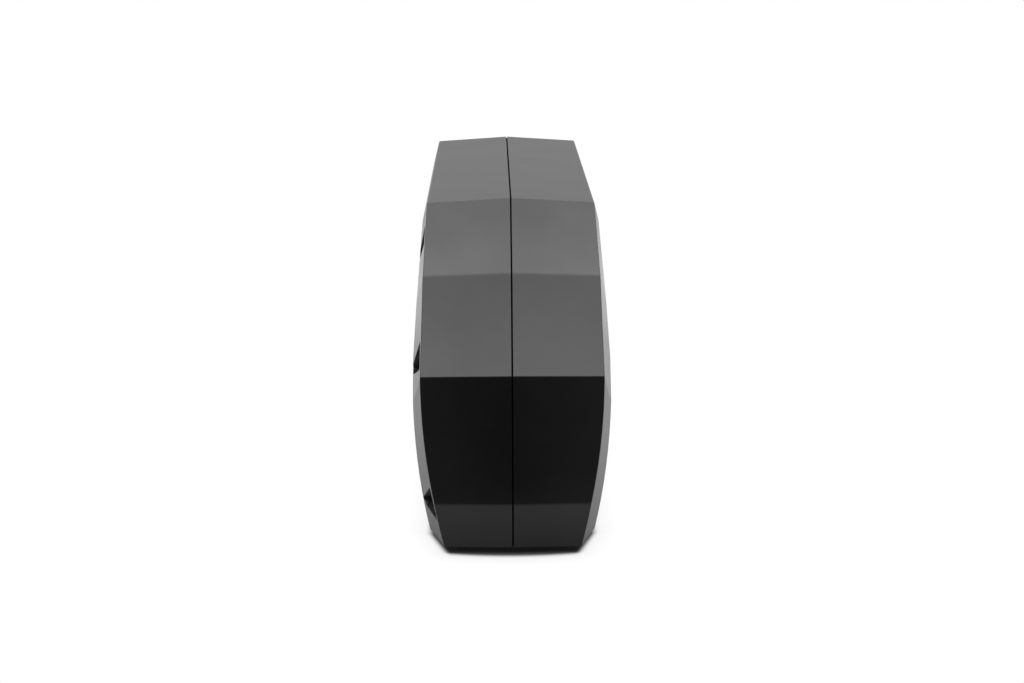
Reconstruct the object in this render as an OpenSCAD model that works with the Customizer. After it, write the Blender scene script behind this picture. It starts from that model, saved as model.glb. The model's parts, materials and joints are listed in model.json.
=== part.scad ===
// Down-tube battery of an electric bicycle: a two-part moulded case with a faceted nose, and the
// cell pack, electronics, sockets, button and slide rail that it carries.
// X is the thickness, the nose points to -Y, Z is up, and the rail rests on z = 0.

/* [Case] */
// Width across the widest point of the two sides
body_w = 91; // [84:0.5:110]
// Length from the nose to the rear face, along the seam ridge
body_len = 358; // [345:1:420]
// Height of the seam ridge on the flat top
top_h = 155; // [150:1:175]
// Height of the case's underside above the resting surface
base_z = 3; // [2:0.5:5]
// Slope of each half away from the seam ridge, in degrees
ridge_angle = 3.4; // [2:0.1:5]

/* [Nose profile] */
// Setback of the underside's front edge
nose_base_d = 1; // [0.5:0.5:3]
// Height of the edge between the two lowest front facets
nose_low_h = 23; // [18:1:30]
// Setback of the widest nose edge
nose_mid_d = 5; // [3:0.5:8]
// Height of the widest nose edge
nose_mid_h = 81; // [72:1:90]
// Half width of the nose at its widest edge
nose_mid_half = 41.6; // [40:0.1:42]
// Setback of the edge between the two sloping facets
nose_high_d = 25; // [20:1:30]
// Drop from the flat top to the edge between the two sloping facets
nose_high_drop = 30; // [26:1:34]
// Half width of the nose at that edge
nose_high_half = 40.4; // [40:0.1:41]
// Setback of the front edge of the flat top
nose_top_d = 61; // [54:1:68]
// Half width of the flat top
top_half = 39; // [38:0.1:39.5]

/* [Rear profile] */
// Setback of the rear edge of the flat top
rear_top_d = 8; // [6:1:14]
// Drop from the flat top to where the rear face starts to lean
rear_high_drop = 33; // [26:1:40]
// Height where the rear face starts to lean towards the base
rear_low_h = 30; // [24:1:36]
// Setback of the underside's rear edge
rear_base_d = 6; // [4:1:9]

/* [Sides] */
// Radius of the barrel curve of the lower side
side_r = 336; // [300:5:400]
// Height of the widest point of the side
side_z = 72; // [66:1:78]
// Height above which the side is flat and leans in
side_break_z = 84; // [82:1:90]
// Lean of the upper side, in degrees
side_lean = 3.9; // [3.5:0.1:5]
// Lean of the narrow strip beside the flat top, in degrees
edge_lean = 14; // [12:1:18]
// Half width of the nose taper, on the widest nose edge
taper_half = 41.1; // [40.5:0.1:41.3]
// Angle of the nose taper in plan, in degrees
taper_angle = 13; // [12:0.5:14]
// Radius of the barrel curve of the nose taper
taper_r = 285; // [270:5:320]
// Height above which the nose taper is upright
taper_z = 75; // [74:1:80]

/* [Walls and seam] */
// Wall thickness of the shells
wall = 2.6; // [2.2:0.1:3]
// Width of the groove that shows along the seam
seam_w = 0.6; // [0.4:0.1:1]
// Depth of that groove
seam_depth = 0.7; // [0.5:0.1:1.2]
// Depth of the stiffening rim inside the seam
rim_depth = 6; // [5.5:0.1:7]
// Width of the rim on each side of the seam
rim_w = 4; // [3:0.5:5]
// Thickness of the seal cord between the shells
seal_t = 1.6; // [1.4:0.1:1.8]
// Width of the seal cord across both shells
seal_w = 2.2; // [1.8:0.1:2.6]

/* [Case screws] */
// Diameter of the case screws
screw_d = 3; // [2.5:0.1:3.5]
// Reach of the screws into the right shell
screw_reach = 7.5; // [6:0.5:8.5]
// Diameter of the screw heads
screw_head_d = 5.6; // [5:0.1:6]
// Height of the screw heads
screw_head_h = 2.4; // [2:0.1:3]
// Length of the front edge of a screw pocket
pocket_edge = 12.5; // [11:0.5:13]
// Length of a screw pocket from its front edge to its point
pocket_len = 25; // [22:1:27]
// Width of the blunt point of a screw pocket
pocket_tip = 1; // [0.6:0.1:2]
// Distance of the screw from the pocket's front edge
pocket_screw_in = 5; // [4.5:0.1:5.5]
// Diameter of the bosses that take the screws
boss_d = 9; // [8:0.5:10]
// Outer diameter of the threaded inserts
insert_d = 4.4; // [4.2:0.1:5]
// Length of the threaded inserts
insert_len = 8; // [6:1:10]

/* [Slide rail] */
// Width of the rail
rail_w = 40; // [36:1:44]
// Height of the rail
rail_h = 8; // [7.5:0.1:8.5]
// Setback of the rail's front end from the nose
rail_front_d = 22; // [18:1:30]
// Setback of the rail's rear end
rail_rear_d = 7.5; // [4:0.5:10]
// Width of the slot's mouth
slot_mouth = 18; // [16:1:20]
// Width of the slot under its lips
slot_w = 28; // [26:1:30]
// Thickness of the slot's lips
slot_lip = 2.6; // [2:0.1:2.8]
// Height of the space above the lips
slot_h = 3.4; // [3:0.1:3.6]
// Bore of the lock bush
lock_bore_d = 8; // [6:0.5:9]
// Length of the lock bush
lock_bush_len = 4; // [3:0.5:4]
// Wall of the lock bush
lock_bush_wall = 2.5; // [2:0.1:3]
// Distance of the lock bush from the rear
lock_back = 52; // [46:1:62]

/* [Cells] */
// Diameter of a cell with its sleeve
cell_d = 18.4; // [18.2:0.1:18.6]
// Length of a cell
cell_len = 65.2; // [64.5:0.1:65.5]
// Distance between cell centres
cell_pitch = 19.8; // [19.6:0.1:20]
// Setback of the first group from the nose
cell_first_d = 74; // [73:1:75]
// Height of the lowest row of cells
cell_first_z = 24; // [24:0.5:25]
// Least drop from the flat top to the highest row of cells
cell_top_gap = 30; // [30:0.5:34]
// Depth to which the holders grip the cells
holder_grip = 7; // [5:0.5:9]
// Thickness of the holders over the cell ends
holder_cap = 1.2; // [1:0.1:1.4]
// Margin of the holders around the outer cells
holder_margin = 1.8; // [1.4:0.1:2]
// Diameter of the welding windows in the holders
holder_window_d = 13; // [11:0.5:14]
// Thickness of the nickel links
nickel_t = 0.3; // [0.2:0.05:0.4]
// Thickness of the insulation sheets
sheet_t = 0.5; // [0.4:0.1:0.8]

/* [Electronics] */
// Thickness of the circuit boards
board_t = 1.6; // [1.2:0.1:2]
// Length of the protection board
bms_len = 66; // [60:1:68]
// Drop from the flat top to the protection board's upper edge
bms_drop = 31; // [29:1:38]
// Distance of the protection board's front edge from the rear
bms_back = 86; // [84:1:88]
// Height of the protection board's lower edge
bms_z = 32; // [30:1:34]
// Distance of the protection board from the mid plane
bms_x = 28; // [26:0.5:30]
// Diameter of the power leads
lead_d = 4; // [3:0.1:4.5]
// Diameter of the charge leads
charge_lead_d = 2.4; // [2:0.1:2.8]

/* [Display and button] */
// Distance of the display's centre from the rear
display_back = 52; // [50:1:54]
// Drop from the flat top to the display's centre
display_drop = 42; // [41:1:44]
// Length of the display recess
display_len = 62; // [60:1:64]
// Height of the display recess
display_h = 16; // [15.5:0.1:16.5]
// Distance of the recess floor from the mid plane
display_x = 41.2; // [41:0.1:41.5]
// Diameter of the power button
button_d = 11; // [10:0.1:11.5]
// Travel of the power button
button_travel = 0.7; // [0.5:0.1:0.7]
// Height of the power button over the recess floor
button_proud = 1; // [0.8:0.1:1.2]

/* [Charge port] */
// Distance of the charge port from the rear
port_back = 54; // [50:1:56]
// Height of the charge port
port_z = 62; // [60:1:66]
// Length of the cover recess
port_len = 34; // [32:1:36]
// Height of the cover recess
port_h = 33; // [32:1:34]
// Distance of the recess floor from the mid plane
port_x = 41.6; // [41.5:0.1:41.8]
// Thickness of the port's cover
cover_t = 3; // [2.8:0.1:3.2]
// Radius of the hinge pin
hinge_pin_r = 0.75; // [0.6:0.05:0.8]
// Inner diameter of the charge socket
socket_bore_d = 14; // [12:0.5:15]
// Depth of the charge socket
socket_bore_depth = 9; // [8:0.5:10]
// Outer diameter of the charge socket
socket_d = 19; // [18:0.5:20]
// Length of the charge socket
socket_len = 18; // [16:1:20]

/* [Discharge socket] */
// Width of the discharge socket
contact_w = 44; // [42:1:46]
// Height of the discharge socket
contact_h = 20; // [18:1:21]
// Length of the discharge socket
contact_len = 18; // [16:1:20]
// Height of the discharge socket's centre
contact_z = 50; // [48:1:52]
// Recess of the socket's face behind the rear ridge
contact_in = 1.9; // [1.8:0.1:2.2]

/* [Clearances] */
// Radial running clearance of the button and of the hinge
run_fit = 0.05; // [0.03:0.01:0.08]
// Clearance between parts that drop into a seat
seat_fit = 0.2; // [0.1:0.05:0.25]
// Gap round a part that moves freely
free_gap = 0.3; // [0.3:0.05:0.4]

/* [Hidden] */

$fn = 96;
smooth = 240;
front = -body_len / 2;
rear = body_len / 2;
half = body_w / 2;
reach = 2 * body_len;
over = base_z;
nose_high_h = top_h - nose_high_drop;
rear_high_h = top_h - rear_high_drop;
display_z = top_h - display_drop;
bms_h = top_h - bms_drop - bms_z;

// Profile of the seam ridge in the Y-Z plane, counter-clockwise from the nose's foot.
PROFILE = [
    [front + nose_base_d, base_z],
    [rear - rear_base_d, base_z],
    [rear, rear_low_h],
    [rear, rear_high_h],
    [rear - rear_top_d, top_h],
    [front + nose_top_d, top_h],
    [front + nose_high_d, nose_high_h],
    [front + nose_mid_d, nose_mid_h],
    [front, nose_low_h]
];
// The seam's rim passes over the rail, so its foot is higher.
RIM_PROFILE = concat(
    [[front + nose_base_d, rail_h], [rear - rear_base_d, rail_h]],
    [for (i = [2 : len(PROFILE) - 1]) PROFILE[i]]
);

// Case screws: profile edge, share along it, depth inside it as a share of the pocket's front
// edge, direction of the pocket's point in degrees, its floor as a share of the half width, and
// its size as a share of the whole pocket.
POCKET_SHARES = [
    [5, 0.383, 0.390, -52, 0.82, 1],
    [6, 0.753, 0.383, -26, 0.80, 1],
    [7, 0.979, 0.364, -10, 0.66, 1],
    [4, 0.777, 1.184, 0, 0.85, 0.72],
    [4, 0.468, 1.184, 0, 0.85, 0.72],
    [3, 0.590, 0.642, 188, 0.82, 1],
    [2, 0.617, 0.372, 196, 0.82, 1],
    [1, 0.559, 0.610, 170, 0.76, 1],
    [0, 0.140, 0.752, 90, 0.78, 1],
    [0, 0.798, 0.752, 90, 0.78, 1]
];
function pocket_place(p) =
    let (
        a = PROFILE[p[0]],
        b = PROFILE[(p[0] + 1) % len(PROFILE)],
        u = unit(b - a)
    )
    a + p[1] * (b - a) + p[2] * pocket_edge * [-u.y, u.x];
function pocket_y(p) = pocket_place(p).x;
function pocket_z(p) = pocket_place(p).y;
function pocket_floor(p) = p[4] * half;
function screw_y(p) = pocket_y(p) + pocket_screw_in * cos(p[3]);
function screw_z(p) = pocket_z(p) + pocket_screw_in * sin(p[3]);

screw_clear = 0.2;
insert_x = 1;
cap_x = cell_len / 2 + holder_cap;
link_x = cap_x + nickel_t;
sheet_x = link_x + sheet_t;
// As many groups and rows of cells as fit before the protection board and under the top.
cell_bay = body_len - bms_back - cell_first_d - cell_d / 2 - holder_margin - wall;
cell_groups = floor(cell_bay / cell_pitch) + 1;
cell_rows = floor((top_h - cell_top_gap - cell_first_z) / cell_pitch) + 1;
holder_front = front + cell_first_d - cell_d / 2 - holder_margin;
holder_rear = holder_front + (cell_groups - 1) * cell_pitch + cell_d + 2 * holder_margin;
holder_low = cell_first_z - cell_d / 2 - holder_margin;
holder_top = holder_low + (cell_rows - 1) * cell_pitch + cell_d + 2 * holder_margin;
pad_t = 3.2;
display_y = rear - display_back;
display_pad_x = display_x - pad_t;
display_board_x = display_pad_x - pad_t;
display_screw_y = display_len / 2 + wall / 2;
display_board_len = 2 * display_screw_y + screw_head_d;
window_len = 36;
window_h = 9;
window_t = 1;
window_y = display_y - display_len / 2 + window_len / 2 + pad_t;
button_y = display_y + display_len / 2 - button_d / 2 - pad_t;
flange_t = 1.2;
port_y = rear - port_back;
hinge_gap = 3;
hinge_z = port_z + port_h / 2 - hinge_gap;
socket_z = port_z - hinge_gap;
lift_gap = 2 * free_gap;
scoop_r = 6;
scoop_w = 14;
hinge_x = port_x + cover_t / 2 + free_gap;
rail_len = body_len - rail_front_d - rail_rear_d;
rail_y = front + rail_front_d;
bush_z = slot_lip + slot_h;
bush_d = lock_bore_d + 2 * lock_bush_wall;
lock_y = rear - lock_back;
bms_y = rear - bms_back;
transistor_t = 4.5;
spreader_t = 3;
contact_y = rear - contact_in;
flange_w = 2.5;
gasket_t = 1.2;
flange_y = contact_y - contact_len / 2;
rail_screw_sink = 1;
rail_screw_len = 6.5;
rail_boss_h = rail_screw_len - rail_h + bush_z + wall / 2;
vent_d = 12;
vent_hole_d = 1.6;

// Vector helpers
function unit(v) = v / norm(v);
function turn(n, tilt) = [sin(tilt), cos(tilt) * n.x, cos(tilt) * n.y];

// Outward normal of profile edge i, tilted so that the seam stands out as a ridge.
// Edge 0 is the flat underside, which has no ridge.
function edge_normal(i) =
    let (
        a = PROFILE[i],
        b = PROFILE[(i + 1) % len(PROFILE)],
        u = unit(b - a)
    )
    turn([u.y, -u.x], i == 0 ? 0 : ridge_angle);

// Point on the edge between facets i - 1 and i, at distance w from the mid plane.
function corner(i, w) =
    let (
        d = cross(edge_normal((i + len(PROFILE) - 1) % len(PROFILE)), edge_normal(i)),
        p = PROFILE[i]
    )
    [0, p.x, p.y] + d * w / d.x;

// Plane through two corners that opens away from facet i by the given angle.
function side_plane(i, a, b, angle) =
    let (
        inward = -edge_normal(i),
        v = cos(angle) * inward + sin(angle) * [1, 0, 0],
        n = cross(b - a, v)
    )
    [a, unit(n.x > 0 ? n : -n)];

top_corner_z = top_h - top_half * tan(ridge_angle);
FACET_PLANES = [
    for (i = [0 : len(PROFILE) - 1]) [[0, PROFILE[i].x, PROFILE[i].y], edge_normal(i)]
];
SIDE_PLANES = [
    [[half, 0, side_break_z], [cos(side_lean), 0, sin(side_lean)]],
    [[top_half, 0, top_corner_z], [cos(edge_lean), 0, sin(edge_lean)]],
    side_plane(5, corner(5, top_half), corner(6, nose_high_half), taper_angle),
    side_plane(6, corner(6, nose_high_half), corner(7, nose_mid_half), taper_angle),
    side_plane(3, corner(4, top_half), corner(3, nose_high_half), taper_angle)
];

// Inset of a convex counter-clockwise outline by d, with mitred corners.
function inset(pts, d) = [
    for (i = [0 : len(pts) - 1])
        let (
            n = len(pts),
            u = unit(pts[i] - pts[(i + n - 1) % n]),
            v = unit(pts[(i + 1) % n] - pts[i]),
            nu = [-u.y, u.x],
            nv = [-v.y, v.x]
        )
        pts[i] + d * (nu + nv) / (1 + nu * nv)
];

// Removes all that lies beyond a plane [point, normal], moved inwards by depth.
module cut_beyond(plane, depth) {
    n = plane[1];
    translate(plane[0])
        rotate([0, acos(n.z), atan2(n.y, n.x)])
            translate([-reach / 2, -reach / 2, -depth])
                cube(reach);
}

// Outline of one side in the X-Z plane: a barrel arc below arc_z and upright above it.
module side_outline(arc_r, arc_z, depth) {
    intersection() {
        translate([-arc_r, arc_z]) circle(arc_r - depth, $fn = smooth);
        translate([-reach, arc_z - reach]) square(reach);
    }
    translate([-reach - depth, arc_z]) square(reach);
}

// The side outline as a bar along Y, turned in plan about the point [x, y].
module side_bar(x, y, angle, arc_r, arc_z, depth) {
    translate([x, y, 0])
        rotate([0, 0, -angle])
            rotate([90, 0, 0])
                linear_extrude(reach, center = true)
                    side_outline(arc_r, arc_z, depth);
}

// Outer form of the right half, or its inner form at some depth below the surface.
module half_form(depth) {
    difference() {
        intersection() {
            translate([0, front, 0]) cube([half, body_len, top_h]);
            side_bar(half, 0, 0, side_r, side_z, depth);
            side_bar(taper_half, front + nose_mid_d, taper_angle, taper_r, taper_z, depth);
            side_bar(taper_half, rear, -taper_angle, taper_r, taper_z, depth);
        }
        for (plane = FACET_PLANES) cut_beyond(plane, depth);
        for (plane = SIDE_PLANES) cut_beyond(plane, depth);
    }
}

// Extrudes a Y-Z outline along X from x0 to x1.
module slab(x0, x1) {
    translate([x0, 0, 0])
        rotate([90, 0, 90])
            linear_extrude(x1 - x0)
                children();
}

// Round bar along X from x0 to x1 at [y, z].
module bar(x0, x1, y, z, d) {
    translate([x0, y, z]) rotate([0, 90, 0]) cylinder(d = d, h = x1 - x0);
}

// Cell centres, rows from the bottom and groups from the nose.
module at_cells() {
    for (g = [0 : cell_groups - 1])
        for (r = [0 : cell_rows - 1])
            translate([0, front + cell_first_d + g * cell_pitch, cell_first_z + r * cell_pitch])
                children();
}

// Triangular outline of a screw pocket, with its walls moved outwards by grow.
module pocket_outline(p, grow) {
    flank = atan2(pocket_edge - pocket_tip, 2 * pocket_len);
    wide = p[5] * pocket_edge / 2 + grow * tan(flank) + grow / cos(flank);
    narrow = p[5] * pocket_tip / 2 - grow * tan(flank) + grow / cos(flank);
    translate([pocket_y(p), pocket_z(p)])
        rotate(p[3])
            polygon([
                [-grow, -wide],
                [p[5] * pocket_len + grow, -narrow],
                [p[5] * pocket_len + grow, narrow],
                [-grow, wide]
            ]);
}

// Walls, rim, rail housing and bosses that both shells share, drawn for the right half.
module shell_body() {
    difference() {
        half_form(0);
        translate([-over, 0, 0]) half_form(wall);
        half_form(wall);
    }
    intersection() {
        half_form(0);
        union() {
            slab(0, rim_w) difference() {
                polygon(inset(RIM_PROFILE, 0));
                polygon(inset(RIM_PROFILE, rim_depth));
            }
            translate([0, front, 0]) cube([rail_w / 2 + seat_fit + wall, body_len, rail_h + wall]);
            translate([0, lock_y, 0]) cylinder(d = bush_d + 2 * wall, h = bush_z + lock_bush_len + wall);
            at_rail_screws() cylinder(d = boss_d * 0.8, h = rail_h + rail_boss_h);
            holder_ribs();
            contact_sleeve();
        }
    }
}

// Ribs that carry the cell holders: under them, and as stops before and behind them.
module holder_ribs() {
    rib_t = wall * 0.8;
    rib_low = rail_w / 2 + wall;
    for (share = [0.15, 0.5, 0.85])
        translate([rib_low, holder_front + share * (holder_rear - holder_front), base_z])
            cube([half - rib_low, rib_t, holder_low - base_z]);
    for (y = [holder_front - rib_t, holder_rear])
        translate([cap_x - holder_grip, y, holder_low])
            cube([half, rib_t, holder_top - holder_low]);
}

// Cuts that both shells share: rail recess, seal groove, seam groove, lock bush and rear socket.
module shell_cuts() {
    translate([-over, rail_y - seat_fit, -over])
        cube([over + rail_w / 2 + seat_fit, body_len, over + rail_h]);
    at_rail_screws() cylinder(d = screw_d * 0.8, h = bush_z + rail_screw_len);
    slab(-over, seal_w / 2) difference() {
        polygon(inset(RIM_PROFILE, wall));
        polygon(inset(RIM_PROFILE, wall + seal_t));
    }
    slab(-over, seam_w / 2) difference() {
        polygon(inset(PROFILE, -over));
        polygon(inset(PROFILE, seam_depth));
    }
    translate([0, lock_y, 0]) cylinder(d = bush_d, h = bush_z + lock_bush_len);
    contact_hole();
    contact_flange(seat_fit, gasket_t);
}

// Hole for the rear socket, from the rear face inwards.
module contact_hole() {
    translate([-contact_w / 2 - seat_fit, rear - contact_len - over, contact_z - contact_h / 2 - seat_fit])
        cube([contact_w + 2 * seat_fit, contact_len + 2 * over, contact_h + 2 * seat_fit]);
}

// Flange of the rear socket, or the groove for it and for the gasket behind it.
module contact_flange(gap, behind) {
    translate([-contact_w / 2 - flange_w - gap, flange_y - gap, contact_z - contact_h / 2 - flange_w - gap])
        cube([contact_w + 2 * flange_w + 2 * gap, flange_w + gap + behind,
            contact_h + 2 * flange_w + 2 * gap]);
}

// Sleeve inside the rear wall that holds the socket's flange.
module contact_sleeve() {
    sleeve_w = 2 * flange_w + seat_fit;
    translate([0, flange_y - flange_w, contact_z - contact_h / 2 - sleeve_w])
        cube([contact_w / 2 + sleeve_w, contact_len, contact_h + 2 * sleeve_w]);
}

module left_shell() {
    color("#1b1c1e")
        difference() {
            union() {
                mirror([1, 0, 0]) shell_body();
                mirror([1, 0, 0]) intersection() {
                    half_form(0);
                    union() {
                        for (p = POCKET_SHARES) {
                            bar(0, pocket_floor(p), screw_y(p), screw_z(p), boss_d);
                            slab(pocket_floor(p) - wall, half) pocket_outline(p, wall);
                        }
                        display_pad();
                        port_pad();
                    }
                }
            }
            mirror([1, 0, 0]) shell_cuts();
            mirror([1, 0, 0]) for (p = POCKET_SHARES) {
                slab(pocket_floor(p), half + over) pocket_outline(p, 0);
                bar(-over, half, screw_y(p), screw_z(p), screw_d + 2 * screw_clear);
            }
            mirror([1, 0, 0]) {
                display_cuts();
                port_cuts();
            }
        }
}

module right_shell() {
    color("#1b1c1e")
        difference() {
            union() {
                shell_body();
                intersection() {
                    half_form(0);
                    union() {
                        for (p = POCKET_SHARES) bar(0, half, screw_y(p), screw_z(p), boss_d);
                        at_bms_screws() bar(bms_x + board_t, half, 0, 0, boss_d * 0.8);
                    }
                }
            }
            shell_cuts();
            for (p = POCKET_SHARES) {
                bar(-over, insert_x + insert_len, screw_y(p), screw_z(p), insert_d);
                bar(-over, screw_reach + screw_d, screw_y(p), screw_z(p), screw_d + 2 * screw_clear);
            }
            at_bms_screws() bar(0, bms_x + board_t + bms_screw_len, 0, 0, screw_d * 0.8);
            at_vent() {
                bar(0, half, 0, 0, vent_hole_d);
                for (a = [0 : 60 : 300])
                    translate([0, vent_d / 4 * cos(a), vent_d / 4 * sin(a)])
                        bar(0, half, 0, 0, vent_hole_d);
            }
        }
}

// Cord seal in the groove between the shells; it ends at the rear socket.
module shell_seal() {
    color("#303236")
        difference() {
            slab(-seal_w / 2, seal_w / 2) difference() {
                polygon(inset(RIM_PROFILE, wall));
                polygon(inset(RIM_PROFILE, wall + seal_t));
            }
            contact_hole();
        }
}

// Pan-head screws with a hexagon socket, in the pockets of the left shell.
module case_screws() {
    color("#3a3b3d")
        for (p = POCKET_SHARES)
            mirror([1, 0, 0])
                difference() {
                    union() {
                        bar(-screw_reach, pocket_floor(p), screw_y(p), screw_z(p), screw_d);
                        bar(pocket_floor(p), pocket_floor(p) + screw_head_h, screw_y(p), screw_z(p),
                            screw_head_d);
                    }
                    translate([pocket_floor(p) + screw_head_h / 3, screw_y(p), screw_z(p)])
                        rotate([0, 90, 0])
                            cylinder(d = screw_head_d / 2, h = screw_head_h, $fn = 6);
                }
}

module threaded_inserts() {
    color("#b08a3c")
        for (p = POCKET_SHARES)
            difference() {
                bar(insert_x, insert_x + insert_len, screw_y(p), screw_z(p), insert_d);
                bar(0, insert_x + insert_len + over, screw_y(p), screw_z(p), screw_d + 2 * run_fit);
            }
}

// T-slot rail that slides onto the bicycle's carrier.
module slide_rail() {
    lead_in = slot_w / 8;
    color("#2a2b2d")
        difference() {
            translate([-rail_w / 2, rail_y, 0]) cube([rail_w, rail_len, rail_h]);
            translate([-slot_mouth / 2, rail_y - over, -over])
                cube([slot_mouth, rail_len + 2 * over, slot_lip + 2 * over]);
            translate([-slot_w / 2, rail_y - over, slot_lip])
                cube([slot_w, rail_len + 2 * over, slot_h]);
            translate([0, rail_y, 0])
                linear_extrude(slot_lip + slot_h)
                    polygon([
                        [-slot_mouth / 2, rail_len - slot_w],
                        [slot_mouth / 2, rail_len - slot_w],
                        [slot_w / 2 + lead_in, rail_len + over],
                        [-slot_w / 2 - lead_in, rail_len + over]
                    ]);
            translate([0, lock_y, 0]) cylinder(d = bush_d, h = rail_h + over);
            at_rail_screws() cylinder(d = screw_d + 2 * screw_clear, h = rail_h + over);
            at_rail_screws() cylinder(d = screw_head_d + 2 * screw_clear, h = bush_z + rail_screw_sink);
        }
}

module at_rail_screws() {
    for (share = [0.14, 0.5, 0.8])
        for (side = [-1, 1])
            translate([side * slot_w / 3, rail_y + share * rail_len, 0])
                children();
}

module rail_screws() {
    color("#8f9194")
        at_rail_screws() {
            translate([0, 0, bush_z]) cylinder(d = screw_head_d, h = rail_screw_sink);
            translate([0, 0, bush_z]) cylinder(d = screw_d * 0.8, h = rail_screw_len);
        }
}

// Steel bush in the rail that takes the bolt of the carrier's lock.
module lock_bush() {
    color("#9a9da0")
        translate([0, lock_y, bush_z])
            difference() {
                cylinder(d = bush_d - 2 * run_fit, h = lock_bush_len);
                translate([0, 0, -over]) cylinder(d = lock_bore_d, h = lock_bush_len + 2 * over);
            }
}

// Round cells with a raised positive cap, alternating from group to group.
module cells() {
    color("#3f6f9f")
        for (g = [0 : cell_groups - 1])
            for (r = [0 : cell_rows - 1])
                translate([0, front + cell_first_d + g * cell_pitch, cell_first_z + r * cell_pitch])
                    rotate([0, g % 2 == 0 ? 90 : -90, 0]) {
                        translate([0, 0, -cell_len / 2]) cylinder(d = cell_d, h = cell_len - cell_cap_h);
                        cylinder(d = cell_d / 2, h = cell_len / 2);
                    }
}

cell_cap_h = 1.2;

// One cell holder, drawn for the right side: a plate of cups with welding windows.
module holder() {
    difference() {
        translate([cap_x - holder_cap - holder_grip, holder_front, holder_low])
            cube([holder_grip + holder_cap, holder_rear - holder_front, holder_top - holder_low]);
        at_cells() bar(0, cell_len / 2, 0, 0, cell_d + 2 * run_fit);
        at_cells() bar(0, half, 0, 0, holder_window_d);
    }
}

module cell_holder_left() {
    color("#d8d8d2") mirror([1, 0, 0]) holder();
}

module cell_holder_right() {
    color("#d8d8d2") holder();
}

// Nickel sheet over the groups first to last, dished and slotted at each cell, drawn for the right.
module nickel_link(first, last) {
    margin = cell_d / 5;
    link_y = front + cell_first_d + first * cell_pitch - cell_d / 2 + margin;
    link_len = (last - first) * cell_pitch + cell_d - 2 * margin;
    link_h = (cell_rows - 1) * cell_pitch + cell_d - 2 * margin;
    difference() {
        union() {
            translate([cap_x, link_y, cell_first_z - cell_d / 2 + margin])
                cube([nickel_t, link_len, link_h]);
            for (g = [first : last])
                for (r = [0 : cell_rows - 1])
                    bar(cell_len / 2, cap_x + nickel_t, front + cell_first_d + g * cell_pitch,
                        cell_first_z + r * cell_pitch, cell_d * 0.45);
        }
        for (g = [first : last])
            for (r = [0 : cell_rows - 1])
                translate([cap_x, front + cell_first_d + g * cell_pitch, cell_first_z + r * cell_pitch])
                    cube([over, cell_d / 3, nickel_t * 3], center = true);
    }
}

module nickel_links_left() {
    color("#b9bcbe")
        mirror([1, 0, 0])
            for (g = [0 : 2 : cell_groups - 1]) nickel_link(g, min(g + 1, cell_groups - 1));
}

module nickel_links_right() {
    color("#b9bcbe") {
        nickel_link(0, 0);
        for (g = [1 : 2 : cell_groups - 1]) nickel_link(g, min(g + 1, cell_groups - 1));
    }
}

// Insulation sheet over the nickel links, drawn for the right side.
module insulation_sheet() {
    translate([link_x, holder_front, holder_low])
        cube([sheet_t, holder_rear - holder_front, holder_top - holder_low]);
}

module insulation_sheet_left() {
    color("#7fa08a") mirror([1, 0, 0]) insulation_sheet();
}

module insulation_sheet_right() {
    color("#7fa08a") insulation_sheet();
}

// Foam pads between the pack and the shells.
module foam_pads() {
    pad_h = (holder_top - holder_low) / 3;
    pad_l = (holder_rear - holder_front) / 5;
    color("#5b5e63")
        for (side = [0, 1])
            mirror([side, 0, 0])
                for (share = [0.18, 0.62])
                    intersection() {
                        half_form(wall);
                        translate([sheet_x, holder_front + share * (holder_rear - holder_front),
                                (holder_low + holder_top - pad_h) / 2])
                            cube([half, pad_l, pad_h]);
                    }
}

// Places of the four screws of the protection board.
module at_bms_screws() {
    inset_d = screw_head_d * 0.9;
    for (dy = [inset_d, bms_len - inset_d])
        for (dz = [inset_d, bms_h - inset_d])
            translate([0, bms_y + dy, bms_z + dz]) children();
}

module bms_board() {
    color("#1f6b3d")
        difference() {
            translate([bms_x, bms_y, bms_z]) cube([board_t, bms_len, bms_h]);
            at_bms_screws() bar(0, half, 0, 0, screw_d);
        }
}

bms_screw_len = 6;
transistor_count = 5;
transistor_w = 8;
transistor_h = 14;

// Power transistors in a row, with their heat spreader on top.
module bms_transistors() {
    step = (bms_h - 4 * screw_head_d) / transistor_count;
    color("#26272a")
        for (i = [0 : transistor_count - 1])
            translate([bms_x - transistor_t, bms_y + bms_len / 3, bms_z + 2 * screw_head_d + i * step])
                cube([transistor_t, transistor_w, min(transistor_h, step * 0.85)]);
}

module bms_heat_spreader() {
    fin_t = spreader_t / 2;
    color("#a9adb1")
        translate([bms_x - transistor_t - spreader_t, bms_y + bms_len / 3 - transistor_w / 2,
                bms_z + 2 * screw_head_d])
            union() {
                cube([spreader_t, 2 * transistor_w, bms_h - 4 * screw_head_d]);
                for (i = [0 : 3])
                    translate([-2 * spreader_t, i * (2 * transistor_w - fin_t) / 3, 0])
                        cube([2 * spreader_t, fin_t, bms_h - 4 * screw_head_d]);
            }
}

connector_w = 9;
connector_h = 26;
connector_t = 6;

module bms_connector() {
    color("#e4e0d4")
        difference() {
            translate([bms_x - connector_t, bms_y + screw_head_d * 0.3, bms_z + bms_h - 2 * connector_h])
                cube([connector_t, connector_w, connector_h]);
            translate([bms_x - connector_t - over, bms_y + screw_head_d * 0.3 + board_t,
                    bms_z + bms_h - 2 * connector_h + board_t])
                cube([over + connector_t / 2, connector_w - 2 * board_t, connector_h - 2 * board_t]);
        }
}

module bms_screws() {
    color("#8f9194")
        at_bms_screws() {
            bar(bms_x - screw_head_h, bms_x, 0, 0, screw_head_d);
            bar(bms_x - screw_head_h, bms_x + board_t + bms_screw_len, 0, 0, screw_d * 0.8);
        }
}

fuse_len = 19;
fuse_w = 7;
fuse_h = 12;

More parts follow.
